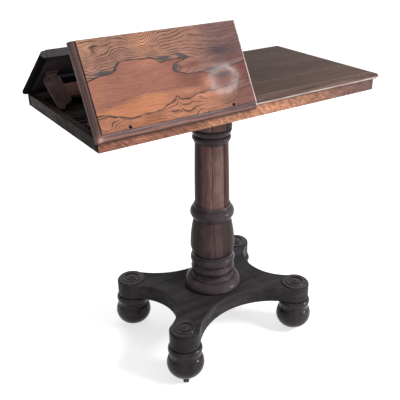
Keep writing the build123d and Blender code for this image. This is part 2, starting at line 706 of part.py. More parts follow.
def castor_plate():
    """Brass plate on the ceiling of the recess, bored for the pintle."""
    plate = rod(CASTOR_PLATE_RADIUS, CASTOR_PLATE_THICKNESS)
    plate -= rod(PINTLE_RADIUS + CASTOR_CLEARANCE, CASTOR_PLATE_THICKNESS)
    return Pos(0, 0, RECESS_CEILING - CASTOR_PLATE_THICKNESS) * plate


def castor_horn():
    """Swivelling horn with a pintle above and two arms that reach along +X to the axle."""
    disc_top = RECESS_CEILING - CASTOR_PLATE_THICKNESS - CASTOR_PLATE_GAP
    disc_bottom = disc_top - HORN_DISC_THICKNESS
    horn = Pos(0, 0, disc_bottom) * rod(HORN_DISC_RADIUS, HORN_DISC_THICKNESS)
    horn += Pos(0, 0, disc_bottom) * rod(PINTLE_RADIUS, HORN_DISC_THICKNESS + PINTLE_LENGTH)
    arm_end = Pos(WHEEL_TRAIL, WHEEL_RADIUS) * Circle(HORN_ARM_END_RADIUS)
    disc_side = Rectangle(HORN_DISC_RADIUS, HORN_DISC_THICKNESS)
    arm_root = Pos(0, disc_bottom + HORN_DISC_THICKNESS / 2) * disc_side
    arm_outline = make_hull([*arm_end.edges(), *arm_root.edges()])
    inner = WHEEL_WIDTH / 2 + WHEEL_SIDE_GAP
    arm = extrude(Plane.XZ * arm_outline, -HORN_ARM_THICKNESS)
    horn += Pos(0, inner, 0) * arm
    horn += Pos(0, -inner - HORN_ARM_THICKNESS, 0) * arm
    bore = Rot(90, 0, 0) * Cylinder(AXLE_RADIUS, WHEEL_WIDTH + 2 * OVERRUN)
    return horn - Pos(WHEEL_TRAIL, 0, WHEEL_RADIUS) * bore


def castor_axle():
    length = WHEEL_WIDTH + 2 * (WHEEL_SIDE_GAP + HORN_ARM_THICKNESS)
    return Pos(WHEEL_TRAIL, 0, WHEEL_RADIUS) * Rot(90, 0, 0) * Cylinder(AXLE_RADIUS, length)


def castor_wheel():
    """Wheel with a crowned tread, bored for the axle."""
    edge = WHEEL_RADIUS - WHEEL_CROWN
    turning = Turning(edge, -WHEEL_WIDTH / 2)
    turning.arc(edge, WHEEL_WIDTH, WHEEL_CROWN)
    wheel = turning.solid() - Cylinder(AXLE_RADIUS + CASTOR_CLEARANCE, WHEEL_WIDTH + OVERRUN)
    return Pos(WHEEL_TRAIL, 0, WHEEL_RADIUS) * Rot(90, 0, 0) * wheel


def column():
    """Turned column: bell base, scotia, two rings, vase, ring, tapered shaft and capital."""
    capital_z = BEARER_BOTTOM - ABACUS_HEIGHT - CAPITAL_FLARE_HEIGHT
    turning = Turning(BELL_FOOT_RADIUS, PLATFORM_TOP)
    turning.line(BELL_RADIUS, BELL_FOOT_HEIGHT)
    turning.arc(BELL_TOP_RADIUS, BELL_HEIGHT, BELL_SWELL)
    turning.line(SCOTIA_FILLET_RADIUS)
    turning.line(SCOTIA_FILLET_RADIUS, SCOTIA_FILLET_HEIGHT)
    turning.line(SCOTIA_RADIUS)
    turning.arc(SCOTIA_RADIUS, SCOTIA_HEIGHT, -SCOTIA_HOLLOW)
    turning.swelling(LOWER_RING_RADIUS, LOWER_RING_HEIGHT)
    turning.line(BAND_RADIUS)
    turning.line(BAND_RADIUS, BAND_HEIGHT)
    turning.swelling(UPPER_RING_RADIUS, UPPER_RING_HEIGHT)
    turning.line(COLLAR_RADIUS)
    turning.line(COLLAR_RADIUS, COLLAR_HEIGHT)
    turning.line(VASE_FOOT_RADIUS)
    turning.arc(VASE_RADIUS, VASE_LOWER_HEIGHT, VASE_LOWER_SWELL)
    turning.arc(VASE_NECK_RADIUS, VASE_UPPER_HEIGHT, VASE_UPPER_SWELL)
    turning.line(MID_RING_ROOT_RADIUS)
    turning.arc(MID_RING_ROOT_RADIUS, MID_RING_HEIGHT, MID_RING_RADIUS - MID_RING_ROOT_RADIUS)
    turning.line(MID_COVE_RADIUS)
    turning.arc(MID_COVE_TOP_RADIUS, MID_COVE_HEIGHT, -MID_COVE_HOLLOW)
    turning.line(MID_COVE_TOP_RADIUS, MID_FILLET_HEIGHT)
    turning.line(SHAFT_FOOT_RADIUS)
    turning.arc(SHAFT_TOP_RADIUS, SHAFT_LENGTH, SHAFT_SWELL)
    turning.line(NECK_FILLET_RADIUS)
    turning.line(NECK_FILLET_RADIUS, NECK_FILLET_HEIGHT)
    turning.line(CAPITAL_ROOT_RADIUS)
    turning.arc(CAPITAL_ROOT_RADIUS, CAPITAL_RING_HEIGHT, CAPITAL_RING_RADIUS - CAPITAL_ROOT_RADIUS)
    turning.arc(OVOLO_RADIUS, OVOLO_HEIGHT, OVOLO_SWELL)
    turning.line(UNDERCUT_RADIUS)
    turning.line(UNDERCUT_RADIUS, UNDERCUT_HEIGHT)
    turning.line(CAPITAL_DRUM_RADIUS)
    turning.line(CAPITAL_DRUM_RADIUS, capital_z - turning.here[1])
    turning.arc(ABACUS_RADIUS, CAPITAL_FLARE_HEIGHT, -CAPITAL_FLARE_HEIGHT * CAPITAL_HOLLOW_SHARE)
    turning.line(ABACUS_RADIUS, ABACUS_HEIGHT)
    body = turning.solid()
    body += Pos(0, 0, PLATFORM_TOP - COLUMN_TENON_LENGTH) * rod(COLUMN_TENON_RADIUS, COLUMN_TENON_LENGTH)
    body += Pos(0, 0, BEARER_BOTTOM) * rod(COLUMN_TENON_RADIUS, BEARER_TENON_LENGTH)
    return Pos(COLUMN_X, 0, 0) * body


def corner_pieces():
    """Foot, roundel and castor of each corner."""
    pieces = {}
    plates = []
    for corner, (x, y, trail) in FOOT_CORNERS.items():
        place = Pos(x, y, 0)
        turned = place * Rot(0, 0, trail)
        pieces[f"foot_{corner}"] = [place * foot()]
        pieces[f"roundel_{corner}"] = [place * Pos(0, 0, PLATFORM_TOP) * roundel()]
        pieces[f"castor_horn_{corner}"] = [turned * castor_horn()]
        pieces[f"castor_axle_{corner}"] = [turned * castor_axle()]
        pieces[f"castor_wheel_{corner}"] = [turned * castor_wheel()]
        plates.append(place * castor_plate())
    pieces["castor_plates"] = plates
    return pieces


def main():
    front_rail = apron_rail()
    pieces = {
        "platform": [platform()],
        "column": [column()],
        "bearer": [bearer()],
        "apron_front": [front_rail],
        "apron_rear": [front_rail.mirror(Plane.XZ)],
        "apron_left": [end_rail(-1)],
        "apron_right": [end_rail(1)],
        "middle_rail": [inner_rail(SLOPE_RIGHT, MIDDLE_RAIL_WIDTH)],
        "cross_rail": [inner_rail(SLOPE_RIGHT + CROSS_RAIL_SETBACK, CROSS_RAIL_WIDTH)],
        "well_floor": [well_floor()],
        "fixed_top": [fixed_top()],
    }
    pieces.update(corner_pieces())
    pieces.update(table_hinge_pieces())
    pieces.update(raised_side("front", FRONT_ANGLE))
    pieces.update(raised_side("rear", REAR_ANGLE))
    os.makedirs("parts", exist_ok=True)
    for name, solids in pieces.items():
        export_step(Compound(children=solids), f"parts/{name}.step")


main()
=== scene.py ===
from collections import namedtuple
import math

import bpy
from mathutils import Matrix, Vector

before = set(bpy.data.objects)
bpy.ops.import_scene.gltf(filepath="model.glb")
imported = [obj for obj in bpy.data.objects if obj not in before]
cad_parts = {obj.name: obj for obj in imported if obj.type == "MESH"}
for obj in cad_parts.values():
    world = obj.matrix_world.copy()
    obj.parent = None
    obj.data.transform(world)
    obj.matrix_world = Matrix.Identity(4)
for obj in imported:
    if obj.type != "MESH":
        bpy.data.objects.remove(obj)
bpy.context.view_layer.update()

MM = 0.001

# Camera, fitted to the corners and rings of the object in the photograph
CAMERA_PLACE = Vector((-836.09, -1245.73, 1154.11)) * MM
CAMERA_YAW = 0.6153
CAMERA_PITCH = -0.4596
CAMERA_ROLL = -0.0008
CAMERA_FOCAL_PIXELS = 621.98
CAMERA_CENTRE_PIXELS = (221.88, 201.44)
IMAGE_PIXELS = 400
SENSOR_WIDTH = 36.0

# Stage, in metres and watts
FLOOR_HALF = 12.0
FLOOR_COLOUR = (0.85, 0.85, 0.85, 1.0)
FLOOR_NEAR, FLOOR_FAR = (0.9, 0.68), (3.5, 1.0)  # distance and how much white it adds there
WORLD_STRENGTH = 0.34
WINDOW_PLACE, WINDOW_AIM = (1.35, -1.95, 2.05), (-0.1, 0.0, 0.7)
WINDOW_SIDE = 0.9
WINDOW_POWER = 72
RING_PLACE, RING_AIM = Vector((1.381, -1.882, 2.110)), Vector((-0.074, -0.175, 0.798))
RING_LAMPS = 16
RING_RADIUS = 0.075
RING_LAMP_SIDE = 0.026
RING_LAMP_POWER = 0.066
SHEEN_PLACE, SHEEN_AIM = (1.80, -1.70, 0.66), (0.0, 0.0, 0.25)
SHEEN_WIDTH, SHEEN_HEIGHT = 0.35, 0.5
SHEEN_POWER = 45
OVERHEAD_PLACE, OVERHEAD_AIM = (0.3, 0.4, 3.0), (0.0, 0.0, 0.5)
OVERHEAD_SIDE = 2.2
OVERHEAD_POWER = 22

# Places on the object that the materials follow, in millimetres
TOP_HALF_LENGTH = 392.0
TOP_HALF_DEPTH = 200.0
TOP_THICKNESS = 18.0
RIM_Z = 729.0
HINGE_Y = 191.5
INNER_FACE_Y = 188.0
NOSE_LINE_Z = 734.0
LEAF_JOINT_Y = -99.0
LIP_INSET = 15.6
APRON_HALF_LENGTH = 383.5
OVERHANG = 8.5
SLOPE_LENGTH = 386.0
RIDGE_UP = (198.4, 199.0)
QUIRK_INSET = 14.0
COLUMN_X = 12.0
SHAFT_RADIUS = 47.0
VASE_Z = (259.0, 368.0)
SHAFT_Z = (406.0, 583.5)
DRUM_Z = (625.0, 662.0)
FRONT_ANGLE = math.radians(62)
REAR_ANGLE = math.radians(37)

# Below, a fade is its start and end, with the levels at both where they aren't 0 and 1

# Veins of the slope veneer, in millimetres from the left end and from the low edge of the face
LEFT_OF_BLOB = (
    (14, 119), (29, 123), (49, 126), (68, 128), (76, 132), (83, 141), (91, 147), (103, 148.5), (119, 147),
    (139, 145), (159, 145),
)
UPPER_VEIN = LEFT_OF_BLOB + (
    (168, 141), (178, 133), (190, 133.5), (200, 133), (203, 113), (209, 109), (216, 107), (229, 104),
    (249, 102), (259, 102), (273, 100), (286, 95), (298, 97), (316, 100), (333, 101), (349, 104), (366, 106),
    (386, 109),
)
UPPER_FLOW = LEFT_OF_BLOB + (
    (170, 141), (182, 137), (200, 136), (225, 138), (245, 136), (262, 128), (280, 114), (300, 104),
    (333, 101), (349, 104), (366, 106), (386, 109),
)
HORN_TOP = ((195, 133), (201, 133.5), (213, 136), (229, 136.3), (238, 134.6), (245, 134.6))
HORN_LOW = ((195, 112), (202, 116), (205, 123), (213, 127), (226, 130.5), (238, 134.6), (245, 134.6))
HORN_START = (198.0, 201.0)
HORN_END = (249.0, 245.0)
LOWER_VEIN = (
    (14, 49), (33, 49), (49, 44), (66, 39), (84, 33.5), (99, 34.7), (109, 38), (126, 38), (143, 39),
    (156, 39.5), (163, 43.5), (176, 47.3), (188, 52.5), (193, 57.5), (196, 60), (200, 54), (209, 50.7),
    (229, 50.7), (243, 55.7), (259, 57.3), (273, 59), (286, 56.7), (299, 58.3), (316, 60.7), (333, 63.3),
    (349, 67.3), (366, 69), (386, 70),
)
CORNER_VEIN = (
    (230, 17), (249, 19), (290, 21), (324, 27), (338, 31), (344, 40), (352, 46), (365, 51), (386, 57),
)
ISLAND_SEAM = (
    (14, 62), (45, 64), (73, 71), (100, 76), (129, 79), (165, 77), (203, 76), (240, 84), (386, 92),
)
VEIN_STEP = 2.5
CORNER_VEIN_START = (236.0, 262.0)
CORNER_VEIN_RISE = (236.0, 330.0, 0.4, 1.0)
SEAM_REACH = (70.0, 215.0)
VEIN_STRENGTH = 0.9
LOWER_VEIN_STRENGTH = 0.85
HORN_STRENGTH = 0.85
CORNER_VEIN_STRENGTH = 0.6
SEAM_STRENGTH = 0.2
VEIN_COLOUR = (0.055, 0.036, 0.032)

# Height fields whose level curves are the growth lines: soft hills over the face, in millimetres
Hill = namedtuple("Hill", "centre widths height turn", defaults=(1.0, 0.0))
UPPER_HILLS = (
    Hill((2, 166), (78, 15), 22.0),
    Hill((32, 138), (10, 13), 9.0),
    Hill((212, 108), (40, 20), 22.0),
    Hill((262, 194), (36, 22), -12.0),
    Hill((335, 156), (34, 16), 8.0),
)
FLAME = Hill((150, 190), (24, 400), 38.0)
FLAME_RISE = (150.0, 172.0)
UPPER_PULL = {"level": 125.0, "reach": 22, "pull": 0.8}
LOWER_HILLS = (
    Hill((26, 18), (24, 20), 20.0),
    Hill((180, 12), (18, 16), 13.0),
    Hill((222, 6), (28, 24), 18.0),
    Hill((300, 46), (30, 22), 20.0, -0.5),
    Hill((360, 24), (26, 14), -10.0, 0.4),
)
LOWER_SHIFT = 2.2
LOWER_PULL = {"level": 45.0, "reach": 12, "pull": 0.7}
ISLAND_HILLS = (
    Hill((186, 126), (20, 18), 22.0, 1.2),
    Hill((95, 108), (46, 16), 9.0),
    Hill((262, 74), (36, 14), 8.0),
)
UPPER_GAP, UPPER_STRENGTH = 7.1, 1.0
LOWER_GAP, LOWER_STRENGTH = 5.2, 0.9
ISLAND_GAP, ISLAND_STRENGTH = 7.0, 0.2
FINE_LINE_STRENGTH = 0.35
LINES_TO_RIGHT = (215.0, 300.0, 1.0, 0.55)
CLEAR_LINES = Hill((150, 190), (46, 30))
FAINT_LINES = Hill((262, 117), (50, 11), -0.8)
FIGURE_LINE_COLOUR = (0.062, 0.034, 0.03)

# Dark spots along the upper vein
MURK = (
    Hill((188, 140), (19, 6)),
    Hill((83, 140), (13, 6), turn=0.8),
    Hill((209, 119), (7, 11), turn=-0.5),
    Hill((52, 130), (30, 5)),
    Hill((232, 141), (20, 5), turn=-0.4),
    Hill((300, 103), (26, 4)),
)
MURK_COLOUR = (0.082, 0.074, 0.078)

# Grounds of the figure: a first colour, and patches and fades to the right that are laid over it in turn
Patch = namedtuple("Patch", "centre widths colour turn", defaults=(0.0,))
Fade = namedtuple("Fade", "start end colour")
UPPER_GROUND = (0.355, 0.18, 0.128)
UPPER_LAYERS = (
    Patch((150, 188), (24, 30), (0.58, 0.27, 0.16)),
    Patch((26, 192), (26, 14), (0.46, 0.245, 0.145), 0.5),
    Fade(235.0, 330.0, (0.175, 0.093, 0.088)),
    Patch((250, 120), (34, 9), (0.20, 0.080, 0.062)),
    Patch((352, 121), (40, 8), (0.135, 0.057, 0.052)),
    Patch((330, 140), (42, 11), (0.076, 0.048, 0.055)),
)
ISLAND_GROUND = (0.345, 0.143, 0.102)
ISLAND_FIRST_LAYERS = (
    Patch((28, 92), (20, 36), (0.42, 0.178, 0.108)),
    Patch((150, 138), (30, 10), (0.44, 0.186, 0.12)),
)
ISLAND_GOLD = (0.53, 0.212, 0.108)
GOLD_UNDER_SEAM = (2.0, -10.0)
GOLD_ALONG = (215.0, 150.0)
ISLAND_LAST_LAYERS = (
    Patch((45, 68), (38, 7), (0.32, 0.132, 0.096)),
    Fade(175.0, 255.0, (0.20, 0.077, 0.058)),
    Patch((228, 64), (40, 9), (0.47, 0.2, 0.125)),
    Patch((275, 78), (16, 14), (0.42, 0.165, 0.095)),
    Patch((318, 87), (26, 6), (0.06, 0.032, 0.036)),
    Fade(335.0, 368.0, (0.155, 0.050, 0.043)),
)
LOWER_GROUND = (0.455, 0.192, 0.112)
LOWER_LAYERS = (
    Fade(262.0, 345.0, (0.21, 0.091, 0.073)),
    Patch((120, 22), (40, 9), (0.46, 0.175, 0.08)),
)
PEG_HOLES = ((75, 18.5), (325, 18.5))
PEG_HOLE_EDGE = (4.2, 3.0)
# Painted shade in the peg holes
PEG_HOLE_SHADE_COLOUR = (0.010, 0.006, 0.006)

# Moulding of a slope: colours across it from the edge (0) to the quirk (1), and what lies on it
# The colours across a moulding paint the light and shade of its profile over the wood: a shadow line at the
# low edge, highlights on the nose and the lip, and a highlight, partly wear, on the arris of the end
LOW_MOULDING_LIGHT_AND_SHADE = (
    (0.0, (0.05, 0.026, 0.024)), (0.11, (0.075, 0.038, 0.034)), (0.20, (0.30, 0.150, 0.122)),
    (0.48, (0.265, 0.132, 0.112)), (0.60, (0.145, 0.090, 0.090)), (0.80, (0.175, 0.108, 0.108)),
    (0.90, (0.33, 0.265, 0.270)), (1.0, (0.26, 0.200, 0.200)),
)
END_MOULDING_LIGHT_AND_SHADE = (
    (0.0, (0.27, 0.185, 0.160)), (0.22, (0.15, 0.095, 0.088)), (0.55, (0.095, 0.058, 0.060)),
    (0.78, (0.165, 0.095, 0.085)), (1.0, (0.10, 0.052, 0.048)),
)
# Painted highlight at the bottom-left corner of the front slope
CORNER_HIGHLIGHTS = (
    (Hill((9, 9), (13, 9), 0.8), (0.27, 0.145, 0.115)),
    (Hill((8, 6), (6, 3.5), 0.8), (0.70, 0.46, 0.34)),
)
END_TINT_THROUGH = (14.5, 17.5)
MOULDING_TO_RIGHT = (150.0, SLOPE_LENGTH, 1.0, 0.62)
RIDGE_COLOUR = (0.075, 0.066, 0.072)
# Painted shade in the quirk groove of a slope
QUIRK_SHADE_COLOUR = (0.025, 0.016, 0.015)
# Painted glint, partly wear, along the right arris of a slope
ARRIS_GLINT_COLOUR = (0.72, 0.60, 0.55)
UNDER_TONES = ((0.026, 0.027, 0.034), (0.034, 0.034, 0.041), (0.045, 0.042, 0.047))
UNDER_PATCH = Hill((90, 150), (80, 52))
UNDER_PATCH_COLOUR = (0.088, 0.057, 0.061)
SLOPE_WEAR = (0.45, 0.33, 0.28)

# Fixed top
TOP_TO_RIGHT = (60.0, 370.0, 1.1, 1.75)
TOP_TO_REAR = (20.0, 190.0, 1.0, 0.8)
TOP_WARM_Y = (-60.0, -110.0)
TOP_NOSE_INSET = (6.0, 4.0)
TOP_TONES = ((0.026, 0.014, 0.011), (0.042, 0.024, 0.019), (0.064, 0.037, 0.030))
TOP_WARM_COLOUR = (0.10, 0.054, 0.043)
TOP_LINE_COLOUR = (0.016, 0.010, 0.009)
TOP_BORDER_COLOUR = (0.125, 0.077, 0.066)
TOP_JOINT_COLOUR = (0.17, 0.11, 0.09)
# Painted shade in the quirk groove of the fixed top
TOP_QUIRK_SHADE_COLOUR = (0.02, 0.014, 0.013)
# Painted highlight on the lip beside the quirk of the fixed top
TOP_LIP_HIGHLIGHT_COLOUR = (0.25, 0.17, 0.14)
# Painted reflection, partly wear, along the nose of the fixed top's moulding
TOP_NOSE_HIGHLIGHT_COLOUR = (0.80, 0.64, 0.57)
TOP_WEAR = (0.34, 0.25, 0.21)

# Long apron rails
APRON_QUIET_X = (30.0, 345.0)
APRON_RED_X = (-60.0, -190.0)
APRON_SHORT_LINES_X = (250.0, 120.0, 0.3, 1.0)
APRON_CURL_LEAN = math.radians(-52)
APRON_BRIGHT_TONES = ((0.34, 0.145, 0.085), (0.56, 0.260, 0.155), (0.72, 0.36, 0.21))
APRON_BRIGHT_STOPS = (0.33, 0.5, 0.66)
APRON_QUIET_TONES = ((0.095, 0.047, 0.040), (0.142, 0.070, 0.057), (0.198, 0.102, 0.080))
APRON_QUIET_STOPS = (0.33, 0.5, 0.68)
APRON_RED = (0.32, 0.132, 0.095)
APRON_LINE_COLOUR = (0.075, 0.036, 0.028)
APRON_SHORT_LINE_COLOUR = (0.15, 0.06, 0.040)
# Painted shade on the inner faces and the ends of the long rails
APRON_INSIDE_SHADE_COLOUR = (0.034, 0.026, 0.025)
APRON_WEAR = (0.5, 0.34, 0.25)

# Column: veneer tones round it and its seams, as shares of a full turn from the back at -180 degrees
# The tones darken towards the left and the back, painted shade, and the light strips at the front are partly
# a painted reflection
COLUMN_TONES_AND_SHADE = (
    (0.000, (0.040, 0.024, 0.023)), (0.036, (0.080, 0.046, 0.044)), (0.075, (0.225, 0.126, 0.114)),
    (0.158, (0.280, 0.153, 0.131)), (0.164, (0.215, 0.130, 0.114)), (0.269, (0.215, 0.128, 0.112)),
    (0.275, (0.058, 0.021, 0.016)), (0.408, (0.085, 0.040, 0.033)), (0.414, (0.160, 0.084, 0.068)),
    (0.533, (0.140, 0.073, 0.060)), (0.539, (0.110, 0.058, 0.048)), (0.658, (0.130, 0.068, 0.056)),
    (0.664, (0.165, 0.090, 0.074)), (0.783, (0.150, 0.080, 0.066)), (0.789, (0.120, 0.062, 0.052)),
    (0.911, (0.038, 0.024, 0.023)),
)
COLUMN_SEAMS = (
    (0.161, 0.0050), (0.272, 0.0022), (0.036, 0.0028), (0.411, 0.003), (0.536, 0.003), (0.661, 0.004),
    (0.786, 0.003), (0.911, 0.003),
)
COLUMN_LINE_COLOUR = (0.05, 0.028, 0.024)
COLUMN_SEAM_COLOUR = (0.022, 0.013, 0.012)
COLUMN_RING_TONES = ((0.062, 0.048, 0.052), (0.080, 0.061, 0.066), (0.098, 0.075, 0.079))
COLUMN_RING_LINE_COLOUR = (0.012, 0.009, 0.009)
VASE_TINT = (0.62, 0.62, 0.66)
VASE_RED_COLOUR = (0.026, 0.015, 0.014)
VASE_RED_AZIMUTH = (math.radians(-104), math.radians(-92))
VASE_RED_Z = (400.0, 380.0)
COLUMN_LEAN_Z = (420.0, 280.0, 0.0, 0.07)
COLUMN_WEAR = (0.17, 0.13, 0.12)

# Plain woods, from dark to light, and the colours that all woods share
# The blue tint in the base and foot tones is painted shade: the cool colour the base takes in shade
BASE_TONES = ((0.022, 0.020, 0.024), (0.038, 0.034, 0.038), (0.062, 0.052, 0.053))
FOOT_TONES = ((0.022, 0.018, 0.0205), (0.037, 0.029, 0.0315), (0.055, 0.042, 0.044))
INNER_TONES = ((0.018, 0.014, 0.014), (0.030, 0.023, 0.022), (0.048, 0.036, 0.033))
# The short end rails get a far darker copy of the apron wood: painted shade
APRON_END_SHADED_TONES = ((0.026, 0.020, 0.019), (0.042, 0.032, 0.030), (0.062, 0.047, 0.043))
LEG_TONES = ((0.065, 0.042, 0.041), (0.095, 0.062, 0.060), (0.125, 0.083, 0.078))
RAIL_TONES = ((0.11, 0.055, 0.050), (0.155, 0.078, 0.070), (0.20, 0.105, 0.092))
TONE_STOPS = (0.34, 0.5, 0.66)
PALE_WEAR = (0.32, 0.22, 0.17)
DARK_WEAR = (0.085, 0.068, 0.065)
APRON_END_WEAR = (0.15, 0.12, 0.11)
HOLLOW_DARK_COLOUR = (0.008, 0.006, 0.007)
PORE_COLOUR = (0.02, 0.012, 0.01)
GRAIN_ORDER = {"x": (0, 1, 2), "y": (1, 0, 2), "z": (2, 0, 1)}
SEED_SHIFT = (310.0, 170.0, 90.0)


def make_camera():
    """The photograph's camera as a Blender camera."""
    data = bpy.data.cameras.new("camera")
    camera = bpy.data.objects.new("camera", data)
    bpy.context.scene.collection.objects.link(camera)
    forward = Vector((
        math.sin(CAMERA_YAW) * math.cos(CAMERA_PITCH),
        math.cos(CAMERA_YAW) * math.cos(CAMERA_PITCH),
        math.sin(CAMERA_PITCH),
    ))
    level_right = forward.cross(Vector((0, 0, 1))).normalized()
    level_up = level_right.cross(forward)
    right = level_right * math.cos(CAMERA_ROLL) + level_up * math.sin(CAMERA_ROLL)
    up = level_up * math.cos(CAMERA_ROLL) - level_right * math.sin(CAMERA_ROLL)
    turn = Matrix((right, up, -forward)).transposed()
    camera.matrix_world = Matrix.Translation(CAMERA_PLACE) @ turn.to_4x4()
    data.sensor_width = SENSOR_WIDTH
    data.lens = CAMERA_FOCAL_PIXELS / IMAGE_PIXELS * SENSOR_WIDTH
    middle = IMAGE_PIXELS / 2
    data.shift_x = (middle - CAMERA_CENTRE_PIXELS[0]) / IMAGE_PIXELS
    data.shift_y = (CAMERA_CENTRE_PIXELS[1] - middle) / IMAGE_PIXELS
    bpy.context.scene.camera = camera


class Nodes:
    """A node tree under construction, with short calls that add its nodes."""

    def __init__(self, tree):
        self.tree = tree
        tree.nodes.clear()

    def node(self, kind, **settings):
        made = self.tree.nodes.new(kind)
        for key, value in settings.items():
            setattr(made, key, value)
        return made

    def feed(self, socket, value):
        """Links a socket or sets a value."""
        if isinstance(value, bpy.types.NodeSocket):
            self.tree.links.new(value, socket)
        elif value is not None:
            socket.default_value = value

    def math(self, operation, first, second=None):
        made = self.node("ShaderNodeMath", operation=operation)
        self.feed(made.inputs[0], first)
        self.feed(made.inputs[1], second)
        return made.outputs[0]

    def chain(self, operation, first, others):
        for other in others:
            first = self.math(operation, first, other)
        return first

    def add(self, first, *others):
        return self.chain("ADD", first, others)

    def times(self, first, *others):
        return self.chain("MULTIPLY", first, others)

    def most(self, first, *others):
        return self.chain("MAXIMUM", first, others)

    def least(self, first, *others):
        return self.chain("MINIMUM", first, others)

    def less(self, first, second):
        return self.math("SUBTRACT", first, second)

    def vector(self, operation, first, second=None, scale=None):
        made = self.node("ShaderNodeVectorMath", operation=operation)
        self.feed(made.inputs[0], first)
        self.feed(made.inputs[1], second)
        if scale is not None:
            self.feed(made.inputs["Scale"], scale)
        return made.outputs["Value" if operation in ("LENGTH", "DISTANCE", "DOT_PRODUCT") else "Vector"]

    def span(self, value, low, high, to_low=0.0, to_high=1.0):
        """Maps low..high smoothly to to_low..to_high, held beyond both."""
        made = self.node("ShaderNodeMapRange", interpolation_type="SMOOTHSTEP")
        sockets = ("Value", "From Min", "From Max", "To Min", "To Max")
        for key, item in zip(sockets, (value, low, high, to_low, to_high)):
            self.feed(made.inputs[key], item)
        return made.outputs[0]

    def seen(self):
        """1 for rays from the camera and from glossy or clear surfaces, 0 for the rest."""
        path = self.node("ShaderNodeLightPath")
        rays = ("Is Camera Ray", "Is Glossy Ray", "Is Transmission Ray")
        return self.most(*(path.outputs[name] for name in rays))


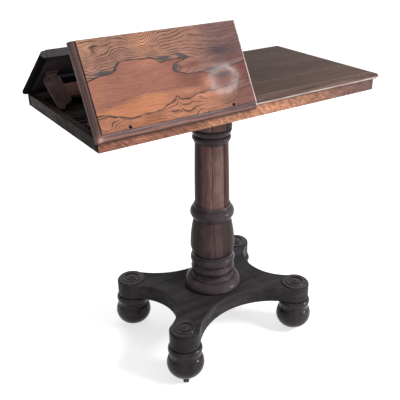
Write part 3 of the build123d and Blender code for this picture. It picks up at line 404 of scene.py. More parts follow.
class Shade(Nodes):
    """A material of the object under construction. Places are in millimetres."""

    def __init__(self, name):
        self.material = bpy.data.materials.new(name)
        self.material.use_nodes = True
        super().__init__(self.material.node_tree)
        self.shader = self.node("ShaderNodeBsdfPrincipled")
        self.feed(self.node("ShaderNodeOutputMaterial").inputs["Surface"], self.shader.outputs[0])
        metres = self.node("ShaderNodeTexCoord").outputs["Object"]
        self.place = self.vector("SCALE", metres, scale=1 / MM)

    def split(self, vector):
        made = self.node("ShaderNodeSeparateXYZ")
        self.feed(made.inputs[0], vector)
        return made.outputs[0], made.outputs[1], made.outputs[2]

    def join(self, x, y, z=0.0):
        made = self.node("ShaderNodeCombineXYZ")
        for socket, value in zip(made.inputs, (x, y, z)):
            self.feed(socket, value)
        return made.outputs[0]

    def squeezed(self, place, first, second=1.0, third=1.0):
        """The place with its axes scaled: what is drawn on it grows long along an axis below 1."""
        return self.vector("MULTIPLY", place, (first, second, third))

    def rotated(self, place, angle):
        """The place turned about the third axis."""
        made = self.node("ShaderNodeVectorRotate", rotation_type="Z_AXIS")
        made.inputs["Angle"].default_value = angle
        self.feed(made.inputs["Vector"], place)
        return made.outputs[0]

    def noise(self, place, size, detail=2.0, roughness=0.5, colour=False):
        """Cloudy noise whose features are about as large as the size."""
        made = self.node("ShaderNodeTexNoise")
        self.feed(made.inputs["Vector"], place)
        made.inputs["Scale"].default_value = 1 / size
        made.inputs["Detail"].default_value = detail
        made.inputs["Roughness"].default_value = roughness
        return made.outputs["Color" if colour else "Fac"]

    def drift(self, place, size, reach, detail=2.0):
        """The place, moved a little to and fro."""
        push = self.vector("SUBTRACT", self.noise(place, size, detail, colour=True), (0.5, 0.5, 0.5))
        return self.vector("ADD", place, self.vector("SCALE", push, scale=2 * reach))

    def between(self, value, low, high, soft):
        """1 between two values, 0 outside, with soft edges."""
        above_low = self.span(value, low - soft, low + soft)
        return self.times(above_low, self.span(value, high + soft, high - soft))

    def stripe(self, distance, outer, inner):
        """1 within the inner distance of a line on both sides, falling to 0 at the outer one."""
        return self.span(self.math("ABSOLUTE", distance), outer, inner)

    def mix(self, share, first, second, blend="MIX"):
        made = self.node("ShaderNodeMix", data_type="RGBA", blend_type=blend)
        self.feed(made.inputs["Factor"], share)
        colours = [socket for socket in made.inputs if socket.type == "RGBA"]
        for socket, value in zip(colours, (first, second)):
            self.feed(socket, value if isinstance(value, bpy.types.NodeSocket) else (*value, 1.0))
        return [socket for socket in made.outputs if socket.type == "RGBA"][0]

    def dimmed(self, colour, level):
        """Colour times a level."""
        return self.mix(1.0, colour, self.join(level, level, level), "MULTIPLY")

    def shaded(self, colour, tone, low, high):
        """Colour made darker or lighter by a tone between 0 and 1."""
        return self.dimmed(colour, self.span(tone, 0.3, 0.7, low, high))

    def ramp(self, value, stops):
        made = self.node("ShaderNodeValToRGB")
        self.feed(made.inputs[0], value)
        band = made.color_ramp.elements
        while len(band) < len(stops):
            band.new(0.5)
        for element, (place, colour) in zip(band, stops):
            element.position = place
            element.color = (*colour, 1.0)
        return made.outputs[0]

    def tones(self, value, colours, stops=TONE_STOPS):
        """A wood's dark, middle and light colour over a noise."""
        return self.ramp(value, list(zip(stops, colours)))

    def curve(self, value, points, reach, rise):
        """Height over a value of the smooth curve through points; reach and rise are its largest values."""
        made = self.node("ShaderNodeFloatCurve")
        made.mapping.extend = "HORIZONTAL"
        line = made.mapping.curves[0]
        places = [(across / reach, height / rise) for across, height in points]
        line.points[0].location = places[0]
        line.points[1].location = places[-1]
        for place in places[1:-1]:
            line.points.new(*place)
        made.mapping.update()
        self.feed(made.inputs["Value"], self.math("DIVIDE", value, reach))
        return self.times(made.outputs[0], rise)

    def hill(self, flat, centre, widths, height=1.0, turn=0.0):
        """Smooth round hill over a flat place."""
        moved = self.vector("SUBTRACT", flat, (*centre, 0.0))
        if turn:
            moved = self.rotated(moved, -turn)
        scaled = self.squeezed(moved, 1 / widths[0], 1 / widths[1], 0.0)
        square = self.vector("DOT_PRODUCT", scaled, scaled)
        return self.times(self.math("EXPONENT", self.times(square, -1.0)), height)

    def growth(self, field, gap, width=0.3):
        """Thin lines along the level curves of a field, sharp on one side: 1 on a line, 0 between."""
        saw = self.math("FRACT", self.math("DIVIDE", field, gap))
        return self.times(
            self.span(saw, 1.0 - 2 * width, 1.0 - 0.4 * width), self.span(saw, 1.0, 1.0 - 0.3 * width)
        )

    def rounded_normal(self, radius):
        made = self.node("ShaderNodeBevel", samples=4)
        made.inputs["Radius"].default_value = radius * MM
        return made.outputs[0]

    def crevice(self, reach):
        """1 in the narrow hollows of the surface, 0 on open ground."""
        made = self.node("ShaderNodeAmbientOcclusion", samples=8)
        made.inputs["Distance"].default_value = reach * MM
        return self.span(made.outputs["AO"], 0.85, 0.35)

    def bump(self, height, strength, depth, normal):
        made = self.node("ShaderNodeBump")
        made.inputs["Strength"].default_value = strength
        made.inputs["Distance"].default_value = depth * MM
        self.feed(made.inputs["Height"], height)
        self.feed(made.inputs["Normal"], normal)
        return made.outputs[0]

    def pores(self, place):
        """Short dark dashes of open pores, for wood that runs along the first axis."""
        return self.span(self.noise(self.squeezed(place, 0.05), size=0.9, detail=1.0), 0.58, 0.70)

    def polish(self, colour, tone, pores, roughness, shine, wear=0.3, worn=PALE_WEAR, hollow_darkening=0.0, relief=0.25,
               dull=0.0, smears=1.0):
        """Ends a wood: pores, worn edges, darker narrow hollows, uneven gloss and a fine relief."""
        # Darkens the narrow hollows that the occlusion finds
        if hollow_darkening:
            colour = self.mix(self.times(self.crevice(reach=7.0), hollow_darkening), colour, HOLLOW_DARK_COLOUR)
        colour = self.mix(self.times(pores, 0.4), colour, PORE_COLOUR)
        rounded = self.rounded_normal(radius=1.2)
        flat = self.node("ShaderNodeNewGeometry").outputs["Normal"]
        facing = self.vector("DOT_PRODUCT", rounded, flat)
        rubbed = self.span(self.noise(self.place, size=16.0, detail=3.0), 0.4, 0.6, 0.3, 1.0)
        edges = self.times(self.span(facing, 0.995, 0.85), rubbed, wear)
        self.feed(self.shader.inputs["Base Color"], self.mix(edges, colour, worn))
        smear = self.noise(self.place, size=75.0, detail=4.0, roughness=0.6)
        glossiest, dullest = roughness * (1 - 0.2 * smears), roughness * (1 + 0.3 * smears)
        gloss = self.span(smear, 0.35, 0.65, glossiest, dullest)
        self.feed(self.shader.inputs["Roughness"], self.add(gloss, self.times(pores, 0.5 * roughness), dull))
        self.shader.inputs["Specular IOR Level"].default_value = shine
        height = self.add(self.times(pores, -1.0), self.times(tone, 0.5))
        self.feed(self.shader.inputs["Normal"], self.bump(height, relief, depth=0.25, normal=rounded))
        return self.material


def plain_wood(name, grain, tones, seed, roughness, shine, lines=0.5, wear=0.3, worn=PALE_WEAR, hollow_darkening=0.0,
               relief=0.25):
    """Straight-grained wood: long streaks of tone, growth lines and pores along the x, y or z axis."""
    shade = Shade(name)
    parts = shade.split(shade.place)
    ordered = shade.join(*(parts[index] for index in GRAIN_ORDER[grain]))
    place = shade.vector("ADD", ordered, tuple(seed * shift for shift in SEED_SHIFT))
    long = shade.drift(shade.squeezed(place, 0.07), size=60.0, reach=8.0, detail=3.0)
    tone = shade.noise(long, size=26.0, detail=5.0, roughness=0.62)
    colour = shade.tones(tone, tones)
    _, across, deep = shade.split(long)
    rings = shade.growth(shade.add(across, shade.times(deep, 0.45)), gap=6.0)
    presence = shade.span(shade.noise(long, size=40.0), 0.4, 0.6)
    shadow = tuple(channel * 0.35 for channel in tones[0])
    colour = shade.mix(shade.times(rings, presence, lines), colour, shadow)
    return shade.polish(colour, tone, shade.pores(place), roughness, shine, wear, worn, hollow_darkening, relief)


def slope_place(shade, angle, mirrored):
    """Place on a slope as if it lay flat: along it, up its face and through the board."""
    x, y, z = shade.split(shade.place)
    if mirrored:
        y = shade.times(y, -1.0)
    out = shade.add(y, HINGE_Y)
    rise = shade.add(z, -RIM_Z)
    along = shade.add(x, TOP_HALF_LENGTH)
    up = shade.add(shade.times(out, math.cos(angle)), shade.times(rise, math.sin(angle)), OVERHANG)
    through = shade.add(shade.times(rise, math.cos(angle)), shade.times(out, -math.sin(angle)))
    return along, up, through


def vein_height(shade, along, points):
    """Height over the low edge of a vein that runs along the face."""
    return shade.curve(along, points, SLOPE_LENGTH, TOP_HALF_DEPTH)


def vein_distance(shade, along, up, points):
    """Distance above a vein, negative below it, and the vein's height."""
    shifts = (-VEIN_STEP, 0.0, VEIN_STEP)
    before, height, after = (vein_height(shade, shade.add(along, shift), points) for shift in shifts)
    steepness = shade.times(shade.less(after, before), 0.5 / VEIN_STEP)
    slant = shade.math("SQRT", shade.add(shade.times(steepness, steepness), 1.0))
    return shade.math("DIVIDE", shade.less(up, height), slant), height


def horn_shape(shade, along, up):
    """1 inside the horn that the island reaches out to the right, and 1 along its outline."""
    top = vein_height(shade, along, HORN_TOP)
    low = vein_height(shade, along, HORN_LOW)
    depth = shade.least(shade.less(top, up), shade.less(up, low))
    reach = shade.span(along, *HORN_START)
    inside = shade.times(shade.span(depth, -0.4, 0.4), reach)
    outline = shade.times(shade.stripe(depth, outer=1.6, inner=0.5), reach, shade.span(along, *HORN_END))
    return inside, outline


def laid_over(shade, colour, flat, along, layers):
    """A ground colour under its patches and fades."""
    for layer in layers:
        if isinstance(layer, Fade):
            share = shade.span(along, layer.start, layer.end)
        else:
            share = shade.hill(flat, layer.centre, layer.widths, turn=layer.turn)
        colour = shade.mix(share, colour, layer.colour)
    return colour


def figure_grounds(shade, flat, along, over_seam):
    """Ground colours of the wood above the island, of the island and of the wood below it."""
    upper = laid_over(shade, UPPER_GROUND, flat, along, UPPER_LAYERS)
    island = laid_over(shade, ISLAND_GROUND, flat, along, ISLAND_FIRST_LAYERS)
    golden = shade.times(shade.span(over_seam, *GOLD_UNDER_SEAM), shade.span(along, *GOLD_ALONG))
    island = shade.mix(golden, island, ISLAND_GOLD)
    island = laid_over(shade, island, flat, along, ISLAND_LAST_LAYERS)
    lower = laid_over(shade, LOWER_GROUND, flat, along, LOWER_LAYERS)
    return upper, island, lower


def pull_along(shade, distance, height, level, reach, pull):
    """Lets the level curves of a field run along a vein near it: what to add to the field."""
    near = shade.math("EXPONENT", shade.times(distance, distance, -1 / reach**2))
    return shade.times(shade.add(height, -level), near, -pull)


def figure_lines(shade, flat, along, field, gap, strength):
    """Growth lines along a field, strong and fine ones, stronger in places and fainter to the right."""
    uneven = shade.add(field, shade.times(shade.noise(flat, size=30.0, detail=3.0), 8.0))
    strong = shade.growth(uneven, gap, width=0.27)
    fine = shade.growth(uneven, gap / 3, width=0.35)
    presence = shade.span(shade.noise(flat, size=22.0), 0.36, 0.56, 0.42, 1.0)
    presence = shade.most(presence, shade.hill(flat, *CLEAR_LINES))
    to_right = shade.span(along, *LINES_TO_RIGHT)
    both = shade.most(strong, shade.times(fine, FINE_LINE_STRENGTH))
    return shade.times(both, presence, to_right, strength)


def figured_veneer(shade, face_along, face_up):
    """Figure of a slope: a plain island among flowing growth lines, dark veins round it. Also its tone."""
    face = shade.join(face_along, face_up)
    flat = shade.drift(face, size=55.0, reach=4.0)
    flat = shade.drift(flat, size=11.0, reach=0.9, detail=1.0)
    along, up, _ = shade.split(flat)
    above, _ = vein_distance(shade, along, up, UPPER_VEIN)
    over_flow, flow_height = vein_distance(shade, along, up, UPPER_FLOW)
    over_low, low_height = vein_distance(shade, along, up, LOWER_VEIN)
    over_corner, _ = vein_distance(shade, along, up, CORNER_VEIN)
    over_seam, _ = vein_distance(shade, along, up, ISLAND_SEAM)
    horn, horn_outline = horn_shape(shade, along, up)
    not_horn = shade.less(1.0, horn)

    upper_pull = pull_along(shade, over_flow, flow_height, **UPPER_PULL)
    lower_pull = pull_along(shade, over_low, low_height, **LOWER_PULL)
    upper_hills, lower_hills, island_hills = (
        [shade.hill(flat, *hill) for hill in hills] for hills in (UPPER_HILLS, LOWER_HILLS, ISLAND_HILLS)
    )
    flame = shade.times(shade.hill(flat, *FLAME), shade.span(up, *FLAME_RISE))
    upper_field = shade.add(up, upper_pull, *upper_hills, flame)
    lower_field = shade.add(up, lower_pull, *lower_hills, LOWER_SHIFT)
    island_field = shade.add(up, *island_hills)
    upper_lines = figure_lines(shade, flat, along, upper_field, UPPER_GAP, UPPER_STRENGTH)
    upper_lines = shade.times(upper_lines, shade.add(shade.hill(flat, *FAINT_LINES), 1.0))
    lower_lines = figure_lines(shade, flat, along, lower_field, LOWER_GAP, LOWER_STRENGTH)
    island_lines = figure_lines(shade, flat, along, island_field, ISLAND_GAP, ISLAND_STRENGTH)

    upper, island, lower = figure_grounds(shade, flat, along, over_seam)
    tone = shade.noise(shade.squeezed(flat, 0.16), size=9.0, detail=5.0, roughness=0.6)
    upper = shade.mix(upper_lines, shade.shaded(upper, tone, 0.86, 1.24), FIGURE_LINE_COLOUR)
    lower = shade.mix(lower_lines, shade.shaded(lower, tone, 0.86, 1.22), FIGURE_LINE_COLOUR)
    island = shade.mix(island_lines, shade.shaded(island, tone, 0.9, 1.08), FIGURE_LINE_COLOUR)
    murk = shade.most(*(shade.hill(flat, *spot) for spot in MURK))
    upper = shade.mix(shade.times(shade.span(murk, 0.25, 0.75), 0.92), upper, MURK_COLOUR)
    colour = shade.mix(shade.times(shade.span(above, -0.5, 0.5), not_horn), island, upper)
    colour = shade.mix(shade.span(over_low, 0.5, -0.5), colour, lower)
    # Near black in the peg holes: painted shade
    for hole in PEG_HOLES:
        to_hole = shade.vector("DISTANCE", face, (*hole, 0.0))
        colour = shade.mix(shade.span(to_hole, *PEG_HOLE_EDGE), colour, PEG_HOLE_SHADE_COLOUR)

    thick = shade.span(shade.noise(flat, size=14.0), 0.35, 0.65, 0.7, 1.7)
    corner_part = shade.times(shade.span(along, *CORNER_VEIN_START), shade.span(along, *CORNER_VEIN_RISE))
    seam_part = shade.between(along, *SEAM_REACH, soft=8.0)
    stroke = shade.times(horn_outline, HORN_STRENGTH)
    for distance, strength, part in (
        (above, VEIN_STRENGTH, not_horn),
        (over_low, LOWER_VEIN_STRENGTH, 1.0),
        (over_corner, CORNER_VEIN_STRENGTH, corner_part),
        (over_seam, SEAM_STRENGTH, seam_part),
    ):
        vein = shade.stripe(shade.math("DIVIDE", distance, thick), outer=1.5, inner=0.6)
        stroke = shade.most(stroke, shade.times(vein, strength, part))
    return shade.mix(stroke, colour, VEIN_COLOUR), tone


def slope_moulding(shade, along, up, through, end_tint, top_tint, corner_highlight):
    """Straight-grained moulding along the low edge and the left end of a slope, darker to the right."""
    on_end = shade.span(shade.less(along, up), 0.3, -0.3)
    edge_place = shade.mix(on_end, shade.join(along, up), shade.join(up, along))
    drifted = shade.drift(shade.squeezed(edge_place, 0.06), size=20.0, reach=2.0)
    tone = shade.noise(drifted, size=5.0, detail=4.0, roughness=0.6)
    across = shade.math("DIVIDE", shade.least(along, up), QUIRK_INSET)
    tint = shade.mix(shade.span(through, *END_TINT_THROUGH), end_tint, top_tint)
    # The ramps across the moulding paint the light and shade of its profile over the wood
    end = shade.mix(1.0, shade.ramp(across, END_MOULDING_LIGHT_AND_SHADE), tint, "MULTIPLY")
    colour = shade.shaded(shade.mix(on_end, shade.ramp(across, LOW_MOULDING_LIGHT_AND_SHADE), end), tone, 0.7, 1.3)
    colour = shade.dimmed(colour, shade.span(along, *MOULDING_TO_RIGHT))
    # Lighter patches at the bottom-left corner: a painted highlight
    if corner_highlight:
        for hill, glint in CORNER_HIGHLIGHTS:
            colour = shade.mix(shade.hill(shade.join(along, up), *hill), colour, glint)
    return colour


def slope_underside(shade, along, up):
    """Plain dark wood under a slope, with a redder patch."""
    tone = shade.noise(shade.squeezed(shade.place, 0.06), size=7.0, detail=5.0, roughness=0.6)
    patch = shade.span(shade.hill(shade.join(along, up), *UNDER_PATCH), 0.3, 0.65)
    return shade.mix(shade.times(patch, 0.85), shade.tones(tone, UNDER_TONES), UNDER_PATCH_COLOUR)


def slope_veneer(name, angle, mirrored, end_tint, top_tint, shine, edge_dull):
    """A slope: figured veneer inside the quirk, moulding outside it, plain wood under it."""
    shade = Shade(name)
    along, up, through = slope_place(shade, angle, mirrored)
    colour, tone = figured_veneer(shade, along, up)
    inset = shade.least(along, up)
    ridge = shade.span(up, *RIDGE_UP)
    outside = shade.most(shade.span(inset, QUIRK_INSET + 0.4, QUIRK_INSET - 0.4), ridge)
    moulding = slope_moulding(shade, along, up, through, end_tint, top_tint, corner_highlight=not mirrored)
    colour = shade.mix(outside, colour, shade.mix(ridge, moulding, RIDGE_COLOUR))
    # Dark line in the quirk groove: painted shade
    quirk = shade.stripe(shade.add(inset, -QUIRK_INSET), outer=1.3, inner=0.4)
    colour = shade.mix(shade.times(quirk, 0.75), colour, QUIRK_SHADE_COLOUR)
    below_face = shade.span(through, TOP_THICKNESS - 1.6, TOP_THICKNESS - 2.4)
    inner = shade.times(below_face, shade.less(1.0, outside))
    colour = shade.mix(inner, colour, slope_underside(shade, along, up))
    # Light line along the right arris: a painted glint, partly wear
    arris_glint = shade.times(
        shade.span(along, SLOPE_LENGTH - 2.6, SLOPE_LENGTH - 1.2),
        shade.span(through, TOP_THICKNESS - 2.6, TOP_THICKNESS - 1.2),
        shade.span(shade.noise(shade.place, size=12.0, detail=3.0), 0.3, 0.5, 0.45, 1.0),
    )
    colour = shade.mix(arris_glint, colour, ARRIS_GLINT_COLOUR)
    dull = shade.times(shade.most(outside, inner), edge_dull)
    pores = shade.pores(shade.join(along, up))
    return shade.polish(
        colour, tone, pores, roughness=0.06, shine=shine, wear=0.12, worn=SLOPE_WEAR, relief=0.05, dull=dull
    )


def fixed_top_veneer():
    """Quiet dark veneer with thin streaks, a joint between two leaves and a straight-grained moulding."""
    shade = Shade("fixed_top_veneer")
    x, y, z = shade.split(shade.place)
    long = shade.drift(shade.squeezed(shade.place, 0.045), size=40.0, reach=5.0)
    tone = shade.noise(long, size=9.0, detail=6.0, roughness=0.64)
    lighter = shade.times(shade.span(x, *TOP_TO_RIGHT), shade.span(y, *TOP_TO_REAR))
    colour = shade.dimmed(shade.tones(tone, TOP_TONES), lighter)
    warm = shade.times(shade.span(y, *TOP_WARM_Y), 0.6)
    colour = shade.mix(warm, colour, shade.shaded(TOP_WARM_COLOUR, tone, 0.72, 1.25))
    _, across, _ = shade.split(long)
    rings = shade.growth(across, gap=6.0)
    colour = shade.mix(shade.times(rings, 0.55), colour, TOP_LINE_COLOUR)
    side_inset = shade.less(TOP_HALF_DEPTH, shade.math("ABSOLUTE", y))
    inset = shade.least(side_inset, shade.less(TOP_HALF_LENGTH, x))
    border = shade.span(inset, QUIRK_INSET + 0.5, QUIRK_INSET - 0.5)
    colour = shade.mix(border, colour, shade.shaded(TOP_BORDER_COLOUR, tone, 0.55, 1.4))
    joint = shade.stripe(shade.add(y, -LEAF_JOINT_Y), outer=2.0, inner=0.8)
    joint_strength = shade.span(shade.noise(long, size=60.0), 0.35, 0.6, 0.25, 0.8)
    colour = shade.mix(shade.times(joint, joint_strength), colour, TOP_JOINT_COLOUR)
    # Dark line in the quirk groove: painted shade
    quirk = shade.stripe(shade.add(inset, -QUIRK_INSET), outer=1.0, inner=0.3)
    colour = shade.mix(shade.times(quirk, 0.6), colour, TOP_QUIRK_SHADE_COLOUR)
    # Light line on the lip beside the quirk: a painted highlight
    lip_highlight = shade.stripe(shade.add(inset, -LIP_INSET), outer=2.6, inner=0.6)
    colour = shade.mix(shade.times(lip_highlight, 0.65), colour, TOP_LIP_HIGHLIGHT_COLOUR)
    # Light line along the nose of the moulding: a painted reflection, partly wear
    rubbed = shade.noise(shade.squeezed(shade.place, 0.1), size=9.0, detail=3.0)
    nose_highlight = shade.times(
        shade.stripe(shade.add(z, -NOSE_LINE_Z), outer=3.0, inner=1.2),
        shade.span(inset, *TOP_NOSE_INSET),
        shade.span(rubbed, 0.35, 0.6, 0.55, 1.0),
    )
    colour = shade.mix(shade.times(nose_highlight, 0.9), colour, TOP_NOSE_HIGHLIGHT_COLOUR)
    pores = shade.pores(shade.place)
    return shade.polish(
        colour, tone, pores, roughness=0.5, shine=0.06, wear=0.35, worn=TOP_WEAR, smears=0.15
    )


def apron_veneer():
    """Bright mottled rosewood with short slanting lines, redder at the left and browner at the right."""
    shade = Shade("apron_long")
    x, y, z = shade.split(shade.place)
    face = shade.join(x, z)
    bent = shade.drift(face, size=30.0, reach=6.0, detail=3.0)
    curls = shade.noise(
        shade.squeezed(shade.rotated(bent, APRON_CURL_LEAN), 1.0, 0.16), size=5.0, detail=4.0, roughness=0.58
    )
    clouds = shade.noise(shade.squeezed(bent, 0.35), size=16.0, detail=3.0)
    bright = shade.tones(curls, APRON_BRIGHT_TONES, APRON_BRIGHT_STOPS)
    quiet = shade.tones(curls, APRON_QUIET_TONES, APRON_QUIET_STOPS)
    colour = shade.mix(shade.span(x, *APRON_QUIET_X), bright, quiet)
    reddish = shade.times(shade.span(x, *APRON_RED_X), 0.75)
    colour = shade.mix(reddish, colour, shade.shaded(APRON_RED, curls, 0.55, 1.35))
    colour = shade.shaded(colour, clouds, 0.84, 1.12)
    waves = shade.times(shade.noise(shade.squeezed(face, 0.45), size=17.0, detail=3.0), 34.0)
    rings = shade.growth(shade.add(z, shade.times(x, 0.22), waves), gap=5.5, width=0.2)
    rings = shade.times(rings, shade.span(shade.noise(bent, size=24.0), 0.4, 0.62), 0.75)
    colour = shade.mix(rings, colour, APRON_LINE_COLOUR)
    slant = shade.add(x, shade.times(z, -1.5), shade.times(shade.noise(bent, size=22.0), 22.0))
    short_lines = shade.times(
        shade.growth(slant, gap=8.5, width=0.24),
        shade.span(shade.noise(bent, size=12.0), 0.42, 0.54),
        shade.span(x, *APRON_SHORT_LINES_X),
        0.7,
    )
    colour = shade.mix(short_lines, colour, APRON_SHORT_LINE_COLOUR)
    # Near black on the inner face and the ends of the long rails: painted shade
    inner_face = shade.span(shade.math("ABSOLUTE", y), INNER_FACE_Y + 1.0, INNER_FACE_Y)
    end_face = shade.span(shade.math("ABSOLUTE", x), APRON_HALF_LENGTH - 0.6, APRON_HALF_LENGTH - 0.2)
    inside = shade.most(inner_face, end_face)
    colour = shade.mix(inside, colour, shade.shaded(APRON_INSIDE_SHADE_COLOUR, clouds, 0.7, 1.3))
    pores = shade.pores(shade.place)
    return shade.polish(
        colour, curls, pores, roughness=0.38, shine=0.07, worn=APRON_WEAR, relief=0.12,
        dull=shade.times(inside, 0.6),
    )


def column_veneer():
    """Turned rosewood: veneered strips with seams on shaft, vase and drum, dark rings between them."""
    shade = Shade("column_rosewood")
    x, y, z = shade.split(shade.place)
    azimuth = shade.math("ARCTAN2", y, shade.add(x, -COLUMN_X))
    waver = shade.add(shade.noise(shade.join(z, 0.0), size=45.0, detail=3.0), -0.5)
    lean = shade.span(z, *COLUMN_LEAN_Z)
    turn = shade.less(shade.add(azimuth, shade.times(waver, 0.07)), lean)
    share = shade.add(shade.times(turn, 0.5 / math.pi), 0.5)
    arc = shade.times(turn, SHAFT_RADIUS)
    place = shade.join(z, arc)
    long = shade.drift(shade.squeezed(place, 0.09), size=14.0, reach=2.5, detail=3.0)
    tone = shade.noise(long, size=7.0, detail=5.0, roughness=0.62)
    clouds = shade.noise(shade.squeezed(place, 0.4), size=22.0, detail=3.0)
    # Strip tones round the column, with painted shade towards the left and the back
    strips = shade.ramp(share, COLUMN_TONES_AND_SHADE)
    veneer = shade.shaded(shade.shaded(strips, tone, 0.78, 1.2), clouds, 0.82, 1.15)
    waves = shade.times(shade.noise(shade.squeezed(place, 0.2), size=22.0, detail=3.0), 30.0)
    lines = shade.growth(shade.add(arc, waves), gap=3.6, width=0.24)
    veneer = shade.mix(shade.times(lines, 0.3), veneer, COLUMN_LINE_COLOUR)
    seams = shade.most(*(
        shade.stripe(shade.add(share, -middle), outer=width, inner=width * 0.35)
        for middle, width in COLUMN_SEAMS
    ))
    veneer = shade.mix(shade.times(seams, 0.75), veneer, COLUMN_SEAM_COLOUR)
    ring_lines = shade.times(shade.growth(z, gap=4.2, width=0.2), 0.12)
    rings = shade.mix(ring_lines, shade.tones(clouds, COLUMN_RING_TONES), COLUMN_RING_LINE_COLOUR)
    vase = shade.mix(0.5, shade.mix(1.0, veneer, VASE_TINT, "MULTIPLY"), rings)
    red_strip = shade.times(shade.span(z, *VASE_RED_Z), shade.span(azimuth, *VASE_RED_AZIMUTH), 0.65)
    on_shaft, on_vase, on_drum = (shade.between(z, *reach, soft=0.4) for reach in (SHAFT_Z, VASE_Z, DRUM_Z))
    vase = shade.mix(shade.times(red_strip, on_vase), vase, VASE_RED_COLOUR)
    colour = shade.mix(shade.most(on_shaft, on_drum), rings, veneer)
    colour = shade.mix(on_vase, colour, vase)
    pores = shade.pores(shade.join(z, x, y))
    veneered = shade.most(on_shaft, on_drum, on_vase)
    return shade.polish(
        colour, clouds, pores, roughness=0.2, shine=0.06, worn=COLUMN_WEAR, hollow_darkening=0.9, relief=0.15,
        dull=shade.times(veneered, 0.2), smears=0.4,
    )


def metal(name, bright, dull, roughness, bare=1.0):
    """Old metal, bright where it is rubbed and dull in the rest; less bare metal looks lacquered."""
    shade = Shade(name)
    tarnish = shade.span(shade.noise(shade.place, size=11.0, detail=4.0, roughness=0.6), 0.35, 0.65)
    shade.feed(shade.shader.inputs["Base Color"], shade.mix(tarnish, bright, dull))
    shade.shader.inputs["Metallic"].default_value = bare
    shade.feed(shade.shader.inputs["Roughness"], shade.span(tarnish, 0.0, 1.0, roughness, roughness * 1.8))
    scratches = shade.noise(shade.squeezed(shade.place, 1.0, 0.15), size=0.8)
    relief = shade.bump(scratches, strength=0.12, depth=0.1, normal=shade.rounded_normal(radius=0.3))
    shade.feed(shade.shader.inputs["Normal"], relief)
    return shade.material


def dress(names, material):
    """Gives every face of the named nodes one material."""
    for name in names:
        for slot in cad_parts[name].material_slots:
            slot.material = material


def corners(*stems):
    return [f"{stem}_{y}_{x}" for stem in stems for y in ("front", "rear") for x in ("left", "right")]


def sides(*stems):
    return [f"{side}_{stem}" for side in ("front", "rear") for stem in stems]


def dress_slopes():
    """Veneers both slopes. The end of the rear one, in shadow in the photograph, is tinted much darker."""
    dress(["front_slope"], slope_veneer(
        "front_slope_veneer", FRONT_ANGLE, mirrored=False, end_tint=(0.85, 0.85, 0.85),
        top_tint=(0.85, 0.85, 0.85), shine=0.2, edge_dull=0.55,
    ))
    dress(["rear_slope"], slope_veneer(
        "rear_slope_veneer", REAR_ANGLE, mirrored=True, end_tint=(0.05, 0.065, 0.085),
        top_tint=(1.05, 0.9, 0.86), shine=0.02, edge_dull=0.9,
    ))


def dress_woods():
    dress_slopes()
    dress(["fixed_top"], fixed_top_veneer())
    dress(["apron_front", "apron_rear"], apron_veneer())
    dress(["column"], column_veneer())
    # A far darker copy of the apron wood on the short end rails: painted shade
    dress(["apron_left", "apron_right"], plain_wood(
        "apron_short", "y", APRON_END_SHADED_TONES, seed=3.0, roughness=0.5, shine=0.03, worn=APRON_END_WEAR,
    ))
    dress(["platform"], plain_wood(
        "base_wood", "x", BASE_TONES, seed=5.0, roughness=0.5, shine=0.08, lines=0.2, wear=0.45,
        worn=DARK_WEAR,
    ))
    dress(corners("foot"), plain_wood(
        "foot_wood", "z", FOOT_TONES, seed=6.0, roughness=0.19, shine=0.14, lines=0.06, worn=DARK_WEAR,
        hollow_darkening=0.9, relief=0.08,
    ))
    dress(corners("roundel"), plain_wood(
        "roundel_wood", "x", FOOT_TONES, seed=6.5, roughness=0.18, shine=0.18, lines=0.0, wear=0.6,
        worn=DARK_WEAR, hollow_darkening=0.9, relief=0.08,
    ))
    dress(["bearer", "well_floor"], plain_wood(
        "inner_wood_x", "x", INNER_TONES, seed=7.0, roughness=0.55, shine=0.04,
    ))
    dress(["middle_rail", "cross_rail"], plain_wood(
        "inner_wood_y", "y", INNER_TONES, seed=8.0, roughness=0.55, shine=0.04,
    ))
    dress(sides("strut_left_leg", "strut_right_leg"), plain_wood(
        "strut_leg_wood", "z", LEG_TONES, seed=9.0, roughness=0.5, shine=0.06,
    ))
    dress(sides("strut_rail"), plain_wood(
        "strut_rail_wood", "x", RAIL_TONES, seed=10.0, roughness=0.5, shine=0.06,
    ))


def dress_metals():
    dress(["table_hinge_leaves", "table_hinge_pins"] + sides("slope_hinge_leaves"), metal(
        "old_brass", bright=(0.040, 0.032, 0.026), dull=(0.020, 0.0165, 0.015), roughness=0.5,
    ))
    dress(sides("strut_hinge_leaves", "strut_hinge_pins", "strut_leaves"), metal(
        "lacquered_brass", bright=(0.115, 0.076, 0.070), dull=(0.085, 0.056, 0.054), roughness=0.5, bare=0.2,
    ))
    dress(["castor_plates"] + corners("castor_horn", "castor_axle", "castor_wheel"), metal(
        "castor_brass", bright=(0.07, 0.058, 0.048), dull=(0.022, 0.019, 0.018), roughness=0.4,
    ))
    side_screws = sides("slope_hinge_screws", "strut_hinge_screws", "strut_leaf_screws")
    dress(["table_hinge_screws"] + side_screws, metal(
        "screw_steel", bright=(0.11, 0.10, 0.095), dull=(0.04, 0.036, 0.033), roughness=0.45,
    ))


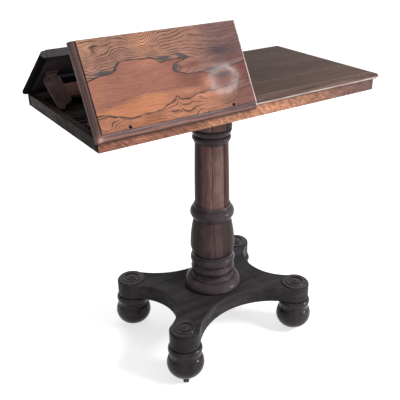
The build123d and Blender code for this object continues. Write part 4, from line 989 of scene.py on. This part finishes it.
def make_floor():
    """A large pale floor that keeps the object's shadow and shows white elsewhere."""
    rim = [(x * FLOOR_HALF, y * FLOOR_HALF, 0.0) for x, y in ((-1, -1), (1, -1), (1, 1), (-1, 1))]
    mesh = bpy.data.meshes.new("floor")
    mesh.from_pydata(rim, [], [(0, 1, 2, 3)])
    floor = bpy.data.objects.new("floor", mesh)
    bpy.context.scene.collection.objects.link(floor)
    material = bpy.data.materials.new("floor")
    material.use_nodes = True
    nodes = Nodes(material.node_tree)
    paper = nodes.node("ShaderNodeBsdfDiffuse")
    paper.inputs["Color"].default_value = FLOOR_COLOUR
    distance = nodes.vector("LENGTH", nodes.node("ShaderNodeTexCoord").outputs["Object"])
    (near, near_white), (far, far_white) = FLOOR_NEAR, FLOOR_FAR
    white = nodes.times(nodes.seen(), nodes.span(distance, near, far, near_white, far_white))
    glow = nodes.node("ShaderNodeEmission")
    nodes.feed(glow.inputs["Strength"], white)
    both = nodes.node("ShaderNodeAddShader")
    nodes.feed(both.inputs[0], paper.outputs[0])
    nodes.feed(both.inputs[1], glow.outputs[0])
    nodes.feed(nodes.node("ShaderNodeOutputMaterial").inputs["Surface"], both.outputs[0])
    mesh.materials.append(material)


def make_lamp(name, place, aim, width, height, power, mirrored=True, lights=True):
    """A soft rectangular lamp that faces a point; it may be left out of gloss, or shine in gloss alone."""
    data = bpy.data.lights.new(name, "AREA")
    data.shape = "RECTANGLE"
    data.size = width
    data.size_y = height
    data.energy = power
    lamp = bpy.data.objects.new(name, data)
    bpy.context.scene.collection.objects.link(lamp)
    lamp.location = place
    lamp.rotation_mode = "QUATERNION"
    lamp.rotation_quaternion = (Vector(aim) - Vector(place)).to_track_quat("-Z", "Y")
    lamp.visible_glossy = mirrored
    lamp.visible_diffuse = lights


def make_world():
    """A soft white world for light that shows plain white wherever it is seen."""
    world = bpy.data.worlds.new("studio")
    bpy.context.scene.world = world
    world.use_nodes = True
    nodes = Nodes(world.node_tree)
    soft = nodes.node("ShaderNodeBackground")
    soft.inputs["Strength"].default_value = WORLD_STRENGTH
    white = nodes.node("ShaderNodeBackground")
    white.inputs["Color"].default_value = (1, 1, 1, 1)
    both = nodes.node("ShaderNodeMixShader")
    for socket, value in zip(both.inputs, (nodes.seen(), soft.outputs[0], white.outputs[0])):
        nodes.feed(socket, value)
    nodes.feed(nodes.node("ShaderNodeOutputWorld").inputs["Surface"], both.outputs[0])


def make_lamps():
    """A window-like lamp from the front right and a large one overhead, which the polish doesn't mirror,
    a ring of small lamps for the glare on the front slope, and a low lamp that shines in gloss alone."""
    make_lamp("window", WINDOW_PLACE, WINDOW_AIM, WINDOW_SIDE, WINDOW_SIDE, WINDOW_POWER, mirrored=False)
    back = RING_PLACE - RING_AIM
    side = back.cross(Vector((0, 0, 1))).normalized()
    upward = side.cross(back).normalized()
    for step in range(RING_LAMPS):
        angle = step * 2 * math.pi / RING_LAMPS
        place = RING_PLACE + (side * math.cos(angle) + upward * math.sin(angle)) * RING_RADIUS
        make_lamp(f"ring_{step}", place, RING_AIM, RING_LAMP_SIDE, RING_LAMP_SIDE, RING_LAMP_POWER)
    make_lamp("sheen", SHEEN_PLACE, SHEEN_AIM, SHEEN_WIDTH, SHEEN_HEIGHT, SHEEN_POWER, lights=False)
    make_lamp(
        "overhead", OVERHEAD_PLACE, OVERHEAD_AIM, OVERHEAD_SIDE, OVERHEAD_SIDE, OVERHEAD_POWER, mirrored=False
    )


make_camera()
dress_woods()
dress_metals()
make_floor()
make_world()
make_lamps()
bpy.context.scene.view_settings.view_transform = "Standard"
